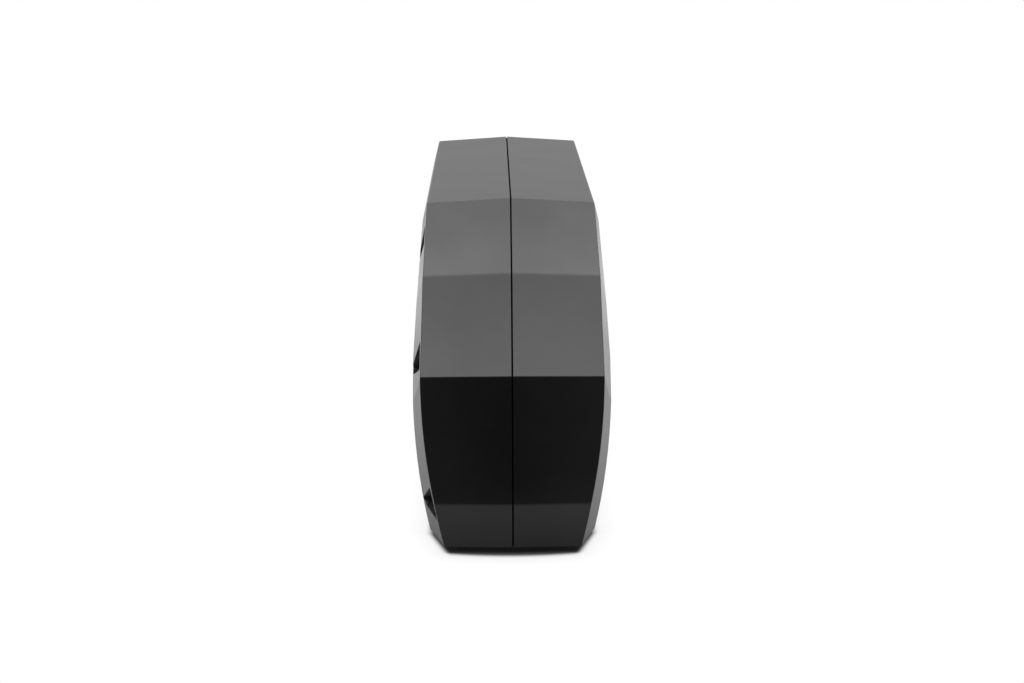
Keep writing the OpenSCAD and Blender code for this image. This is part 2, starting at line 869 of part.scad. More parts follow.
module main_fuse() {
    color("#c8742c")
        translate([bms_x - fuse_w, bms_y + bms_len - fuse_len - screw_head_d, bms_z + 2 * screw_head_d]) {
            cube([fuse_w, fuse_len, fuse_h / 4]);
            translate([0, 0, fuse_h * 3 / 4]) cube([fuse_w, fuse_len, fuse_h / 4]);
            translate([fuse_w / 4, fuse_len / 8, 0]) cube([fuse_w / 2, fuse_len * 3 / 4, fuse_h]);
        }
}

// Tube of radius r along points, swept with upright frames.
module tube(points, r) {
    sides = 8;
    n = len(points);
    function along(i) = unit(points[min(i + 1, n - 1)] - points[max(i - 1, 0)]);
    function across(t) = unit(cross(t, abs(t.x) < 0.8 ? [1, 0, 0] : [0, 0, 1]));
    rings = [
        for (i = [0 : n - 1])
            let (t = along(i), a = across(t), b = cross(t, a))
            for (k = [0 : sides - 1])
                points[i] + r * (cos(360 * k / sides) * a + sin(360 * k / sides) * b)
    ];
    skin = [
        for (i = [0 : n - 2])
            for (k = [0 : sides - 1])
                let (p = i * sides + k, q = i * sides + (k + 1) % sides)
                [p, q, q + sides, p + sides]
    ];
    ends = [
        [for (k = [sides - 1 : -1 : 0]) k],
        [for (k = [0 : sides - 1]) (n - 1) * sides + k]
    ];
    polyhedron(rings, concat(skin, ends));
}

// Smooth curve from p to q that leaves along a and arrives against b, with short straight ends.
function curve(p, a, b, q) =
    let (c = p + stub_share * a, d = q + stub_share * b)
    concat([p], [
        for (i = [0 : 14])
            let (t = i / 14, s = 1 - t)
            s * s * s * c + 3 * s * s * t * (c + a) + 3 * s * t * t * (d + b) + t * t * t * d
    ], [q]);
stub_share = 0.06;

// Flat cable of the cell taps: along the top of the pack, then down to its connector.
module balance_harness() {
    ribbon_t = 1.2;
    ribbon_w = connector_w - 2 * board_t - 2 * seat_fit;
    plug_z = bms_z + bms_h - connector_h * 1.5;
    plug_x = bms_x - connector_t;
    plug_y = bms_y + screw_head_d * 0.3 + board_t + seat_fit;
    color("#c9c2a4") {
        translate([plug_x - ribbon_t, holder_front + cell_d / 2, holder_top + seat_fit])
            cube([ribbon_w, plug_y + ribbon_w - holder_front - cell_d / 2, ribbon_t]);
        translate([plug_x - ribbon_t, plug_y, plug_z])
            cube([ribbon_t, ribbon_w, holder_top + seat_fit + ribbon_t - plug_z]);
        translate([plug_x - ribbon_t, plug_y, plug_z - connector_h / 2 + board_t + seat_fit])
            cube([ribbon_t + connector_t / 2, ribbon_w, connector_h - 2 * board_t - 2 * seat_fit]);
    }
}

// Lead from the last cell group, over the top of the pack, to the protection board.
module positive_lead() {
    a = [link_x - lead_d, holder_rear - cell_d, holder_top + lead_d * 1.1];
    b = [bms_x, bms_y + bms_len * 0.73, bms_z + bms_h * 0.87];
    color("#b3201f") tube(curve(a, [0, (b.y - a.y) * 0.95, 0], [-cell_d * 0.76, 0, 0], b), lead_d / 2);
}

// Lead from the protection board to the rear socket.
module negative_lead() {
    a = [bms_x, bms_y + bms_len * 0.85, bms_z + fuse_h + cell_d];
    b = [contact_w / 5, contact_y - contact_len, contact_z];
    color("#18191b") tube(curve(a, [-cell_d, 0, 0], [0, -cell_d / 2, 0], b), lead_d / 2);
}

// Thickened wall behind the display, drawn for the right side.
module display_pad() {
    translate([display_pad_x, display_y - display_len / 2 - wall, display_z - display_h / 2 - wall])
        cube([half, display_len + 2 * wall, display_h + 2 * wall]);
    for (side = [-1, 1])
        bar(display_board_x, half, display_y + side * display_screw_y, display_z, screw_head_d);
}

// Recess, window opening and button bore, drawn for the right side.
module display_cuts() {
    translate([display_x, display_y - display_len / 2, display_z - display_h / 2])
        cube([half, display_len, display_h]);
    translate([0, window_y - window_len / 2 + pad_t, display_z - window_h / 2 + pad_t / 2])
        cube([half, window_len - 2 * pad_t, window_h - pad_t]);
    bar(0, half, button_y, display_z, button_d + 2 * run_fit);
    for (side = [-1, 1])
        bar(0, display_board_x + pad_t, display_y + side * display_screw_y, display_z, screw_d * 0.7);
}

module display_board() {
    color("#1f6b3d")
        mirror([1, 0, 0])
            difference() {
                translate([display_board_x - board_t, display_y - display_board_len / 2,
                        display_z - display_h / 2])
                    cube([board_t, display_board_len, display_h]);
                for (side = [-1, 1])
                    bar(0, half, display_y + side * display_screw_y, display_z, screw_d * 0.8);
            }
}

module display_screws() {
    color("#8f9194")
        mirror([1, 0, 0])
            for (side = [-1, 1])
                translate([0, display_y + side * display_screw_y, display_z]) {
                    bar(display_board_x - board_t - pad_t / 2, display_board_x - board_t, 0, 0,
                        screw_d * 1.4);
                    bar(display_board_x - board_t, display_board_x + pad_t, 0, 0, screw_d * 0.7);
                }
}

led_count = 5;
led_w = 1.6;

module charge_leds() {
    step = (window_len - 3 * pad_t) / (led_count - 1);
    color("#d9e8c8")
        mirror([1, 0, 0])
            for (i = [0 : led_count - 1])
                translate([display_board_x, window_y - (led_count - 1) * step / 2 + i * step - led_w / 2,
                        display_z - led_w])
                    cube([led_w / 2, led_w, 2 * led_w]);
}

// Clear window with a light guide that reaches through the wall.
module display_window() {
    color("#4a4d52")
        mirror([1, 0, 0]) {
            translate([display_x, window_y - window_len / 2, display_z - window_h / 2])
                cube([window_t, window_len, window_h]);
            translate([display_board_x + led_w / 2 + free_gap,
                    window_y - window_len / 2 + pad_t + seat_fit,
                    display_z - window_h / 2 + pad_t / 2 + seat_fit])
                cube([display_x - display_board_x - led_w / 2 - free_gap,
                    window_len - 2 * pad_t - 2 * seat_fit, window_h - pad_t - 2 * seat_fit]);
        }
}

// Flat dome switch behind the button.
module button_switch() {
    switch_h = display_pad_x - run_fit - flange_t - button_travel - display_board_x - run_fit;
    color("#c2c4c6")
        mirror([1, 0, 0]) {
            translate([display_board_x, button_y - button_d / 4, display_z - button_d / 4])
                cube([switch_h / 2, button_d / 2, button_d / 2]);
            bar(display_board_x, display_board_x + switch_h, button_y, display_z, button_d / 4);
        }
}

// Push button with a collar that holds it behind the wall and a dished face.
module power_button() {
    face_x = display_x + button_proud;
    dish_r = 3 * button_d;
    dish = button_d / 40;
    color("#2f3133")
        mirror([1, 0, 0])
            difference() {
                union() {
                    bar(display_pad_x - run_fit - flange_t, face_x, button_y, display_z, button_d);
                    bar(display_pad_x - run_fit - flange_t, display_pad_x - run_fit, button_y, display_z,
                        button_d + 2 * flange_t);
                }
                translate([face_x + dish_r - dish, button_y, display_z]) sphere(dish_r);
            }
}

// Thickened wall behind the charge port, drawn for the right side.
module port_pad() {
    translate([port_x - pad_t, port_y - port_len / 2 - 2 * wall, port_z - port_h / 2 - wall])
        cube([half, port_len + 4 * wall, port_h + 2 * wall]);
}

// Cover recess, socket hole, finger scoop and hinge pin seats, drawn for the right side.
module port_cuts() {
    translate([port_x, port_y - port_len / 2, port_z - port_h / 2])
        cube([half, port_len, port_h]);
    bar(0, half, port_y, socket_z, socket_d + 2 * seat_fit);
    translate([half + scoop_r / 2, port_y, port_z - port_h / 2])
        rotate([90, 0, 0])
            cylinder(r = scoop_r, h = scoop_w, center = true);
    translate([hinge_x, port_y, hinge_z])
        rotate([90, 0, 0])
            cylinder(r = hinge_pin_r, h = port_len + 2 * wall, center = true);
}

// Round charge socket with three contact holes in the floor of its well.
module charge_socket() {
    color("#242528")
        translate([0, port_y, socket_z])
            mirror([1, 0, 0])
                difference() {
                    union() {
                        bar(port_x - socket_len, port_x, 0, 0, socket_d);
                        bar(port_x - pad_t - flange_w, port_x - pad_t, 0, 0, socket_d + 2 * flange_w);
                    }
                    bar(port_x - socket_bore_depth, half, 0, 0, socket_bore_d);
                    at_contacts() bar(port_x - socket_len - over, port_x, 0, 0, contact_hole_d);
                }
}

contact_hole_d = 2.6;

module at_contacts() {
    for (a = [90, 210, 330])
        translate([0, socket_bore_d / 4 * cos(a), socket_bore_d / 4 * sin(a)])
            children();
}

// Sleeves that grip the charger's pins.
module charge_contacts() {
    color("#c9a650")
        translate([0, port_y, socket_z])
            mirror([1, 0, 0])
                at_contacts()
                    difference() {
                        bar(port_x - socket_len - flange_w, port_x - socket_bore_depth - seat_fit, 0, 0,
                            contact_hole_d);
                        bar(port_x - socket_len + flange_w, port_x, 0, 0, contact_hole_d / 2);
                    }
}

// Pair of leads from the charge socket to the protection board.
module charge_leads() {
    x0 = -(port_x - socket_len - flange_w);
    color("#18191b")
        for (a = [210, 330]) {
            p = [x0, port_y + socket_bore_d / 4 * cos(a),
                socket_z + socket_bore_d / 4 * sin(a)];
            q = [bms_x - transistor_t / 2, bms_y + bms_len * (a > 270 ? 0.72 : 0.6), bms_z + bms_h / 2];
            tube(curve(p, [cell_d / 2, 0, 0], [-cell_d / 2, 0, 0], q), charge_lead_d / 2);
        }
}

// Cover of the charge port: a curved flap with a knuckle on its pin.
module port_cover() {
    low_z = port_z - port_h / 2 + lift_gap;
    color("#222325")
        mirror([1, 0, 0])
            difference() {
                union() {
                    intersection() {
                        side_bar(half, 0, 0, side_r, side_z, free_gap / 2);
                        translate([port_x + free_gap, port_y - port_len / 2 + free_gap, low_z])
                            cube([cover_t + side_sag, port_len - 2 * free_gap, hinge_z - low_z]);
                    }
                    translate([hinge_x, port_y, hinge_z])
                        rotate([90, 0, 0])
                            cylinder(d = cover_t, h = port_len - 2 * free_gap, center = true);
                }
                translate([hinge_x, port_y, hinge_z])
                    rotate([90, 0, 0])
                        cylinder(r = hinge_pin_r + run_fit, h = port_len + over, center = true);
            }
}

side_sag = 0.4;

module cover_hinge_pin() {
    color("#9a9da0")
        translate([-hinge_x, port_y, hinge_z])
            rotate([90, 0, 0])
                cylinder(r = hinge_pin_r, h = port_len + 2 * wall, center = true);
}

// Slots of the rear socket: offset from the mid plane as a share of its width, and height.
SLOT_SHARES = [[-0.36, 0.6], [-0.15, 0.4], [0, 0.4], [0.15, 0.4], [0.36, 0.6]];
blade_slot_t = 2;

module contact_block() {
    color("#1f2022")
        difference() {
            union() {
                translate([-contact_w / 2, contact_y - contact_len, contact_z - contact_h / 2])
                    cube([contact_w, contact_len, contact_h]);
                contact_flange(0, 0);
            }
            for (s = SLOT_SHARES)
                translate([s[0] * contact_w - blade_slot_t / 2, contact_y - contact_len * 0.8,
                        contact_z - s[1] * contact_h / 2])
                    cube([blade_slot_t, contact_len, s[1] * contact_h]);
        }
}

// Forked contact clips at the bottom of the slots.
module contact_clips() {
    clip_t = blade_slot_t * 0.3;
    color("#c9a650")
        for (s = SLOT_SHARES)
            translate([s[0] * contact_w - blade_slot_t / 2, contact_y - contact_len * 0.8,
                    contact_z - s[1] * contact_h * 0.45])
                difference() {
                    cube([blade_slot_t, contact_len * 0.5, s[1] * contact_h * 0.9]);
                    translate([clip_t, clip_t, -over])
                        cube([blade_slot_t - 2 * clip_t, contact_len, contact_h + 2 * over]);
                }
}

// Gasket behind the flange of the rear socket.
module contact_seal() {
    color("#4c4f54")
        difference() {
            translate([-contact_w / 2 - flange_w, flange_y + flange_w, contact_z - contact_h / 2 - flange_w])
                cube([contact_w + 2 * flange_w, gasket_t, contact_h + 2 * flange_w]);
            contact_hole();
        }
}

module at_vent() {
    translate([0, bms_y + bms_len / 2, bms_z + bms_h + vent_d]) children();
}

// Round breathing membrane on the inside of the right shell.
module vent_membrane() {
    color("#e9e9e4")
        intersection() {
            half_form(wall);
            difference() {
                at_vent() bar(0, half, 0, 0, vent_d);
                translate([-sheet_t, 0, 0]) half_form(wall);
            }
        }
}

left_shell();
right_shell();
shell_seal();
case_screws();
threaded_inserts();
slide_rail();
rail_screws();
lock_bush();
cells();
cell_holder_left();
cell_holder_right();
nickel_links_left();
nickel_links_right();
insulation_sheet_left();
insulation_sheet_right();
foam_pads();
bms_board();
bms_transistors();
bms_heat_spreader();
bms_connector();
bms_screws();
main_fuse();
balance_harness();
positive_lead();
negative_lead();
display_board();
display_screws();
charge_leds();
display_window();
button_switch();
power_button();
charge_socket();
charge_contacts();
charge_leads();
port_cover();
cover_hinge_pin();
contact_block();
contact_clips();
contact_seal();
vent_membrane();
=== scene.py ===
# %% [markdown]
# # A battery for an electric bicycle
# The battery is a long black case that slides onto a bicycle's down tube. The CAD model holds
# every part in real size. This script loads it as a fixed frame, gives each part a finish worked
# out from noise and formulas, rounds the edges of the case, and lights it as in a studio.

# %% Load the frame
import json
import math

import bmesh
import bpy
import numpy as np
from mathutils import Matrix, Vector


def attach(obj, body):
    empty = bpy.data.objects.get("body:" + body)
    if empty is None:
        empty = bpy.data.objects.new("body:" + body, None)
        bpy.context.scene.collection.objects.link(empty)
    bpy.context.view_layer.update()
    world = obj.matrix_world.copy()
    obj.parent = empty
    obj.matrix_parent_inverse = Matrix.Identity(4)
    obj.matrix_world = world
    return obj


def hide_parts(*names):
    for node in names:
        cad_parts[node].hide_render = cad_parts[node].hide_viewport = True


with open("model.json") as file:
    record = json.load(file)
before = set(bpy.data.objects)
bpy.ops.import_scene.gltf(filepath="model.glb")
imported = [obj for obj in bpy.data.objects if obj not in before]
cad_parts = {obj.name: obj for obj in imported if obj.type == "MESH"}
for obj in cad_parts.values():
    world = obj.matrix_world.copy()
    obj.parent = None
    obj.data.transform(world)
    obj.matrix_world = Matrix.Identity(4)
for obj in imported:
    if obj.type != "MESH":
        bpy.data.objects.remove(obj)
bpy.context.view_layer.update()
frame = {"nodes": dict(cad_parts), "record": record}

MM = 0.001

# %% [markdown]
# ## Camera
# The camera stands a little over a metre from the nose and looks down by ten degrees. Its place
# was solved from the corners of the facets, because an error of one degree would move an edge
# by forty pixels, which is more than the eye can judge when it places a camera. The focal length
# is given in pixels of a frame 1024 wide, and the lens follows from the sensor's width.

# %% Camera
FRAME_WIDTH, FOCAL_PIXELS = 1024, 2490.0
SENSOR_WIDTH = 36.0
CAMERA_PLACE = Vector((-8.87, -1271.1, 298.13)) * MM
YAW, PITCH, ROLL = 0.0080, 0.1811, -0.0040


def camera_matrix(place, yaw, pitch, roll):
    """Forward is yaw to the right of +Y and pitch below level; up is right cross forward,
    and both are turned by roll about forward."""
    level = math.cos(pitch)
    forward = Vector((math.sin(yaw) * level, math.cos(yaw) * level, -math.sin(pitch)))
    right = Vector((math.cos(yaw), -math.sin(yaw), 0.0))
    up = right.cross(forward)
    side = right * math.cos(roll) + up * math.sin(roll)
    top = up * math.cos(roll) - right * math.sin(roll)
    turn = Matrix((side, top, -forward)).transposed().to_4x4()
    return Matrix.Translation(place) @ turn


lens = bpy.data.cameras.new("studio_camera")
lens.sensor_fit = "HORIZONTAL"
lens.sensor_width = SENSOR_WIDTH
lens.lens = FOCAL_PIXELS / FRAME_WIDTH * SENSOR_WIDTH
lens.clip_end = 50.0
camera = bpy.data.objects.new("studio_camera", lens)
bpy.context.collection.objects.link(camera)
camera.matrix_world = camera_matrix(CAMERA_PLACE, YAW, PITCH, ROLL)
bpy.context.scene.camera = camera
print("lens, mm:", round(lens.lens, 2))

# %% [markdown]
# ## Node helpers
# A finish is a graph of shader nodes. A few short functions make a node, wire it, build a
# material and paint over its colour, so that each finish further down reads as a few lines.

# %% Node helpers
# Places of the colour sockets on a mix node.
MIX_FIRST, MIX_SECOND, MIX_RESULT = 6, 7, 2


def add(tree, kind, **settings):
    """A node of this kind. Names of inputs in settings set the input's value, others an
    attribute of the node."""
    node = tree.nodes.new(kind)
    for name, value in settings.items():
        if name in node.inputs:
            node.inputs[name].default_value = value
        else:
            setattr(node, name, value)
    return node


def wire(tree, source, target):
    """Joins (node, output name) to (node, input name)."""
    tree.links.new(source[0].outputs[source[1]], target[0].inputs[target[1]])


def ramp(tree, source, stops):
    """Colour ramp over the source's value; stops are (position, grey or colour)."""
    node = add(tree, "ShaderNodeValToRGB")
    wire(tree, source, (node, "Fac"))
    elements = node.color_ramp.elements
    while len(elements) < len(stops):
        elements.new(0.5)
    for element, (place, tone) in zip(elements, stops):
        element.position = place
        element.color = (*tone, 1.0) if isinstance(tone, tuple) else (tone, tone, tone, 1.0)
    return node


def new_material(name, values):
    """Material with one Principled shader, whose own sockets take the values."""
    material = bpy.data.materials.new(name)
    material.use_nodes = True
    tree = material.node_tree
    shader = tree.nodes["Principled BSDF"]
    for socket, value in values.items():
        shader.inputs[socket].default_value = value
    return material, tree, shader


def paint_over(tree, shader, factor, tone):
    """Mixes a tone over the shader's colour, as far as the factor goes from 0 to 1."""
    paint = add(tree, "ShaderNodeMix", data_type="RGBA")
    wire(tree, factor, (paint, "Factor"))
    tree.links.new(shader.inputs["Base Color"].links[0].from_socket, paint.inputs[MIX_FIRST])
    paint.inputs[MIX_SECOND].default_value = (*tone, 1.0)
    tree.links.new(paint.outputs[MIX_RESULT], shader.inputs["Base Color"])


print("node helpers ready")

# %% [markdown]
# ## Shared effects
# Moulded plastic, cast surfaces and brushed metal all show a fine pattern that changes how
# shiny they are. A picture of the surface could give it, but noise has no border and fits any
# size. Each pattern is a node group with named inputs, built once and placed in each material
# with its own scale. The groups give a height and a roughness, never a shader.

# %% Shared effects
# The brushed lines run along Y.
LINE_STRETCH = (1.0, 0.03, 1.0)


def new_group(name, inputs, outputs):
    """Shader node group with float inputs {name: default} and float outputs."""
    tree = bpy.data.node_groups.new(name, "ShaderNodeTree")
    for label, value in inputs.items():
        socket = tree.interface.new_socket(label, in_out="INPUT", socket_type="NodeSocketFloat")
        socket.default_value = value
    for label in outputs:
        tree.interface.new_socket(label, in_out="OUTPUT", socket_type="NodeSocketFloat")
    return tree, add(tree, "NodeGroupInput"), add(tree, "NodeGroupOutput")


def math_node(tree, operation, first, second, third=None):
    """Math node; each operand is a number or a (node, output) pair."""
    node = add(tree, "ShaderNodeMath", operation=operation)
    for slot, operand in enumerate((first, second, third)):
        if operand is None:
            continue
        if isinstance(operand, tuple):
            tree.links.new(operand[0].outputs[operand[1]], node.inputs[slot])
        else:
            node.inputs[slot].default_value = operand
    return node


def pattern_group(name, scale, base, spread):
    """Group of a surface pattern, with its three inputs and three outputs."""
    inputs = {"Scale": scale, "Base": base, "Spread": spread}
    return new_group(name, inputs, ("Height", "Roughness", "Tone"))


def end_pattern(tree, start, end, height, drift, tone):
    """Wires the outputs of a pattern: roughness = base + spread * drift."""
    rough = math_node(tree, "MULTIPLY_ADD", drift, (start, "Spread"), (start, "Base"))
    for source, label in ((height, "Height"), ((rough, "Value"), "Roughness"), (tone, "Tone")):
        wire(tree, source, (end, label))
    return tree


def build_grain():
    """Eroded mould texture: fine noise is the height, and a wide noise drifts the roughness.
    drift = (wide - 0.5) + (fine - 0.5)"""
    tree, start, end = pattern_group("moulded_grain", 3000.0, 0.35, 0.1)
    place = add(tree, "ShaderNodeTexCoord")
    fine = add(tree, "ShaderNodeTexNoise", Detail=4.0, Roughness=0.6)
    wide = add(tree, "ShaderNodeTexNoise", Scale=30.0, Detail=3.0)
    for noise in (fine, wide):
        wire(tree, (place, "Object"), (noise, "Vector"))
    wire(tree, (start, "Scale"), (fine, "Scale"))
    both = math_node(tree, "ADD", (fine, "Fac"), (wide, "Fac"))
    drift = math_node(tree, "SUBTRACT", (both, "Value"), 1.0)
    return end_pattern(tree, start, end, (fine, "Fac"), (drift, "Value"), (wide, "Fac"))


def build_brushed():
    """Drawn or ground metal: noise stretched along one axis gives the height of fine lines.
    drift = lines - 0.5"""
    tree, start, end = pattern_group("brushed_lines", 900.0, 0.3, 0.15)
    place = add(tree, "ShaderNodeTexCoord")
    stretch = add(tree, "ShaderNodeMapping")
    stretch.inputs["Scale"].default_value = LINE_STRETCH
    lines = add(tree, "ShaderNodeTexNoise", Detail=3.0)
    wire(tree, (place, "Object"), (stretch, "Vector"))
    wire(tree, (stretch, "Vector"), (lines, "Vector"))
    wire(tree, (start, "Scale"), (lines, "Scale"))
    drift = math_node(tree, "SUBTRACT", (lines, "Fac"), 0.5)
    return end_pattern(tree, start, end, (lines, "Fac"), (drift, "Value"), (lines, "Fac"))


EFFECTS = {"grain": build_grain(), "brushed": build_brushed()}
print("shared effects:", ", ".join(EFFECTS))

# %% [markdown]
# ## Finishes
# The case is moulded in a black so deep that nearly all that is seen of it is what its satin
# skin mirrors. The other finishes are what such a battery holds: anodised aluminium, zinc and
# black steel, brass, nickel, natural nylon, silicone, board lacquer, foam and fibre sheet. All
# are made in the same way, so that each is one row of a table.

# %% Finishes
# Tones of the effect at which the dark and the light colour are reached.
DARK_TONE, LIGHT_TONE = 0.3, 0.7
# Effect, dark and light colour, scale of the pattern, roughness, its spread, depth of the bump
# in metres.
FINISH_ROWS = {
    "case_plastic": (
        "grain", (0.0028, 0.0029, 0.0032), (0.0042, 0.0043, 0.0047), 2600.0, 0.2, 0.05, 4e-6
    ),
    "button_rubber": ("grain", (0.02, 0.021, 0.023), (0.03, 0.031, 0.034), 1800.0, 0.5, 0.1, 1e-5),
    "socket_plastic": (
        "grain", (0.01, 0.0105, 0.012), (0.017, 0.018, 0.02), 2200.0, 0.4, 0.1, 8e-6
    ),
    "component_black": (
        "grain", (0.018, 0.019, 0.021), (0.035, 0.036, 0.04), 3000.0, 0.5, 0.15, 1e-5
    ),
    "seal_rubber": ("grain", (0.012, 0.012, 0.013), (0.03, 0.03, 0.033), 1500.0, 0.75, 0.1, 2e-5),
    "foam": ("grain", (0.03, 0.031, 0.034), (0.09, 0.091, 0.096), 900.0, 0.95, 0.05, 2e-4),
    "holder_plastic": ("grain", (0.58, 0.58, 0.54), (0.7, 0.7, 0.65), 1200.0, 0.5, 0.1, 1e-5),
    "connector_plastic": ("grain", (0.62, 0.59, 0.5), (0.75, 0.72, 0.62), 1500.0, 0.45, 0.1, 1e-5),
    "insulation": ("grain", (0.13, 0.26, 0.18), (0.22, 0.37, 0.27), 700.0, 0.8, 0.1, 3e-5),
    "membrane": ("grain", (0.62, 0.62, 0.6), (0.8, 0.8, 0.77), 1600.0, 0.95, 0.05, 6e-5),
    "board": ("grain", (0.008, 0.09, 0.035), (0.015, 0.16, 0.06), 420.0, 0.25, 0.15, 8e-6),
    "fuse_body": ("grain", (0.45, 0.13, 0.03), (0.6, 0.19, 0.045), 1500.0, 0.35, 0.1, 1e-5),
    "ribbon": ("brushed", (0.45, 0.4, 0.25), (0.62, 0.57, 0.4), 700.0, 0.35, 0.1, 2e-5),
    "lead_red": ("grain", (0.38, 0.012, 0.01), (0.5, 0.022, 0.018), 800.0, 0.5, 0.1, 1e-5),
    "lead_black": ("grain", (0.01, 0.01, 0.011), (0.022, 0.022, 0.024), 800.0, 0.5, 0.1, 1e-5),
    "cell_sleeve": ("brushed", (0.03, 0.14, 0.26), (0.05, 0.2, 0.34), 260.0, 0.3, 0.12, 1e-5),
    "led_lens": ("grain", (0.55, 0.62, 0.5), (0.7, 0.77, 0.64), 1500.0, 0.15, 0.08, 4e-6),
    "window_smoke": (
        "grain", (0.006, 0.0065, 0.008), (0.009, 0.01, 0.012), 400.0, 0.07, 0.04, 1e-6
    ),
    "rail_aluminium": (
        "brushed", (0.012, 0.0125, 0.0135), (0.03, 0.031, 0.033), 1400.0, 0.38, 0.18, 1e-5
    ),
    "heat_spreader": ("brushed", (0.5, 0.51, 0.53), (0.66, 0.67, 0.69), 1200.0, 0.35, 0.2, 1e-5),
    "steel": ("brushed", (0.42, 0.42, 0.43), (0.58, 0.58, 0.59), 1500.0, 0.28, 0.15, 6e-6),
    "zinc_steel": ("grain", (0.4, 0.41, 0.43), (0.6, 0.61, 0.63), 600.0, 0.32, 0.2, 6e-6),
    "black_steel": ("grain", (0.03, 0.03, 0.032), (0.07, 0.07, 0.074), 700.0, 0.35, 0.15, 8e-6),
    "nickel": ("brushed", (0.5, 0.48, 0.45), (0.66, 0.64, 0.6), 1100.0, 0.3, 0.2, 6e-6),
    "brass": ("brushed", (0.5, 0.36, 0.15), (0.68, 0.52, 0.25), 1500.0, 0.3, 0.15, 6e-6),
    "contact_gold": ("grain", (0.72, 0.47, 0.16), (0.86, 0.62, 0.27), 500.0, 0.2, 0.1, 3e-6),
}
# Values of the shader's own sockets, for the finishes that need other than the usual ones.
SHADER_VALUES = {
    "case_plastic": {"IOR": 1.5},
    "window_smoke": {"Coat Weight": 0.6, "Coat Roughness": 0.04},
    "rail_aluminium": {"Metallic": 0.75},
    "heat_spreader": {"Metallic": 1.0},
    "steel": {"Metallic": 1.0},
    "zinc_steel": {"Metallic": 1.0},
    "black_steel": {"Metallic": 0.9},
    "nickel": {"Metallic": 1.0},
    "brass": {"Metallic": 1.0},
    "contact_gold": {"Metallic": 1.0},
}


def finish_with(name, effect, dark, light, scale, base, spread, depth):
    """Material whose colour runs from dark to light over the effect's tone, with the effect's
    roughness, and its height as a bump of this depth."""
    material, tree, shader = new_material(name, SHADER_VALUES.get(name, {}))
    pattern = add(tree, "ShaderNodeGroup", node_tree=EFFECTS[effect])
    for label, value in (("Scale", scale), ("Base", base), ("Spread", spread)):
        pattern.inputs[label].default_value = value
    tones = ramp(tree, (pattern, "Tone"), ((DARK_TONE, dark), (LIGHT_TONE, light)))
    wire(tree, (tones, "Color"), (shader, "Base Color"))
    wire(tree, (pattern, "Roughness"), (shader, "Roughness"))
    bump = add(tree, "ShaderNodeBump", Strength=1.0, Distance=depth)
    wire(tree, (pattern, "Height"), (bump, "Height"))
    wire(tree, (bump, "Normal"), (shader, "Normal"))
    return material


FINISHES = {name: finish_with(name, *row) for name, row in FINISH_ROWS.items()}
print("finishes:", len(FINISHES))

# %% [markdown]
# ## Marks of the mould, painted shade and painted sheen
# The mould leaves its wells duller than the outer skin. Shade is painted into the groove between
# the shells, where the colour is near black and no light comes back, and a faint painted sheen
# runs across each facet of the nose. A separate material for each would have to be kept equal to
# the plastic in all else. So the meshes of the shells carry three attributes, and the one plastic
# reads them.

# %% Marks of the mould, painted shade and painted sheen
RECESS_ROUGHNESS = 0.4
# Dark grey of the duller wells, and near black of the shade painted into the groove.
RECESS_COLOUR, PAINTED_SHADE_COLOUR = (0.03, 0.031, 0.033), (0.0008, 0.0008, 0.0008)
# Level of the shine, its drift with the grain's tone, and the drift of the painted sheen.
SHINE_LEVEL, SHINE_DRIFT, SHEEN_DRIFT = 0.42, 0.16, 0.12


def add_mould_and_painted_light(material):
    """Adds the mould's marks and painted light to the shells. Where the attribute recess is 1, in
    the wells and inside, roughness rises and the colour is a dark grey. Where the attribute gap is
    set,
    in the groove between the shells and on the floor of the lowest pocket's wedge, shade is
    painted:
    the colour is near black and no light comes back. The shine drifts a little with the tone, and
    a
    painted sheen runs over each front facet with the attribute sheen, from -1 to 1:
    specular = (level + drift . tone) . (1 - gap) . (1 + drift of the sheen . sheen)."""
    tree = material.node_tree
    shader = tree.nodes["Principled BSDF"]
    names = ("recess", "gap", "sheen")
    recess, gap, sheen = (add(tree, "ShaderNodeAttribute", attribute_name=name) for name in names)
    rough = math_node(tree, "MULTIPLY_ADD", (recess, "Fac"), RECESS_ROUGHNESS, 0.0)
    tree.links.new(shader.inputs["Roughness"].links[0].from_socket, rough.inputs[2])
    wire(tree, (rough, "Value"), (shader, "Roughness"))
    paint_over(tree, shader, (recess, "Fac"), RECESS_COLOUR)
    # Painted shade: near black where the attribute gap is set.
    paint_over(tree, shader, (gap, "Fac"), PAINTED_SHADE_COLOUR)
    pattern = next(node for node in tree.nodes if node.bl_idname == "ShaderNodeGroup")
    shine = math_node(tree, "MULTIPLY_ADD", (pattern, "Tone"), SHINE_DRIFT, SHINE_LEVEL)
    # Where shade is painted, the shine is taken away as well.
    open_share = math_node(tree, "SUBTRACT", 1.0, (gap, "Fac"))
    level = math_node(tree, "MULTIPLY", (shine, "Value"), (open_share, "Value"))
    # Painted sheen: the shine drifts with height over each front facet.
    drift = math_node(tree, "MULTIPLY_ADD", (sheen, "Fac"), SHEEN_DRIFT, 1.0)
    final = math_node(tree, "MULTIPLY", (level, "Value"), (drift, "Value"))
    wire(tree, (final, "Value"), (shader, "Specular IOR Level"))


# The mould's duller wells, the painted shade and the painted sheen go onto the case's plastic.
add_mould_and_painted_light(FINISHES["case_plastic"])
print("the mould's marks are on the case's plastic")

# %% [markdown]
# ## Marks on the display
# A pale power sign is printed on the button, and five small lights show faintly through the
# smoked window. Both are masks over the place in the side's plane, so that they need no picture.

# %% Marks on the display
# Y and Z of each mark's middle, and sizes of the marks, in mm.
BUTTON_PLACE, WINDOW_PLACE = (149.3, 113.0), (117.2, 113.0)
SIGN_RADIUS, SIGN_LINE, SIGN_GAP = 2.1, 0.28, 0.9
LIGHT_PITCH, LIGHT_RADIUS = 6.6, 0.9
# Middle and half length of the sign's bar, as shares of the ring's radius.
BAR_MIDDLE, BAR_HALF = 0.75, 0.6
SIGN_TONE, LIGHT_ROW_TONE = (0.42, 0.43, 0.45), (0.05, 0.062, 0.05)


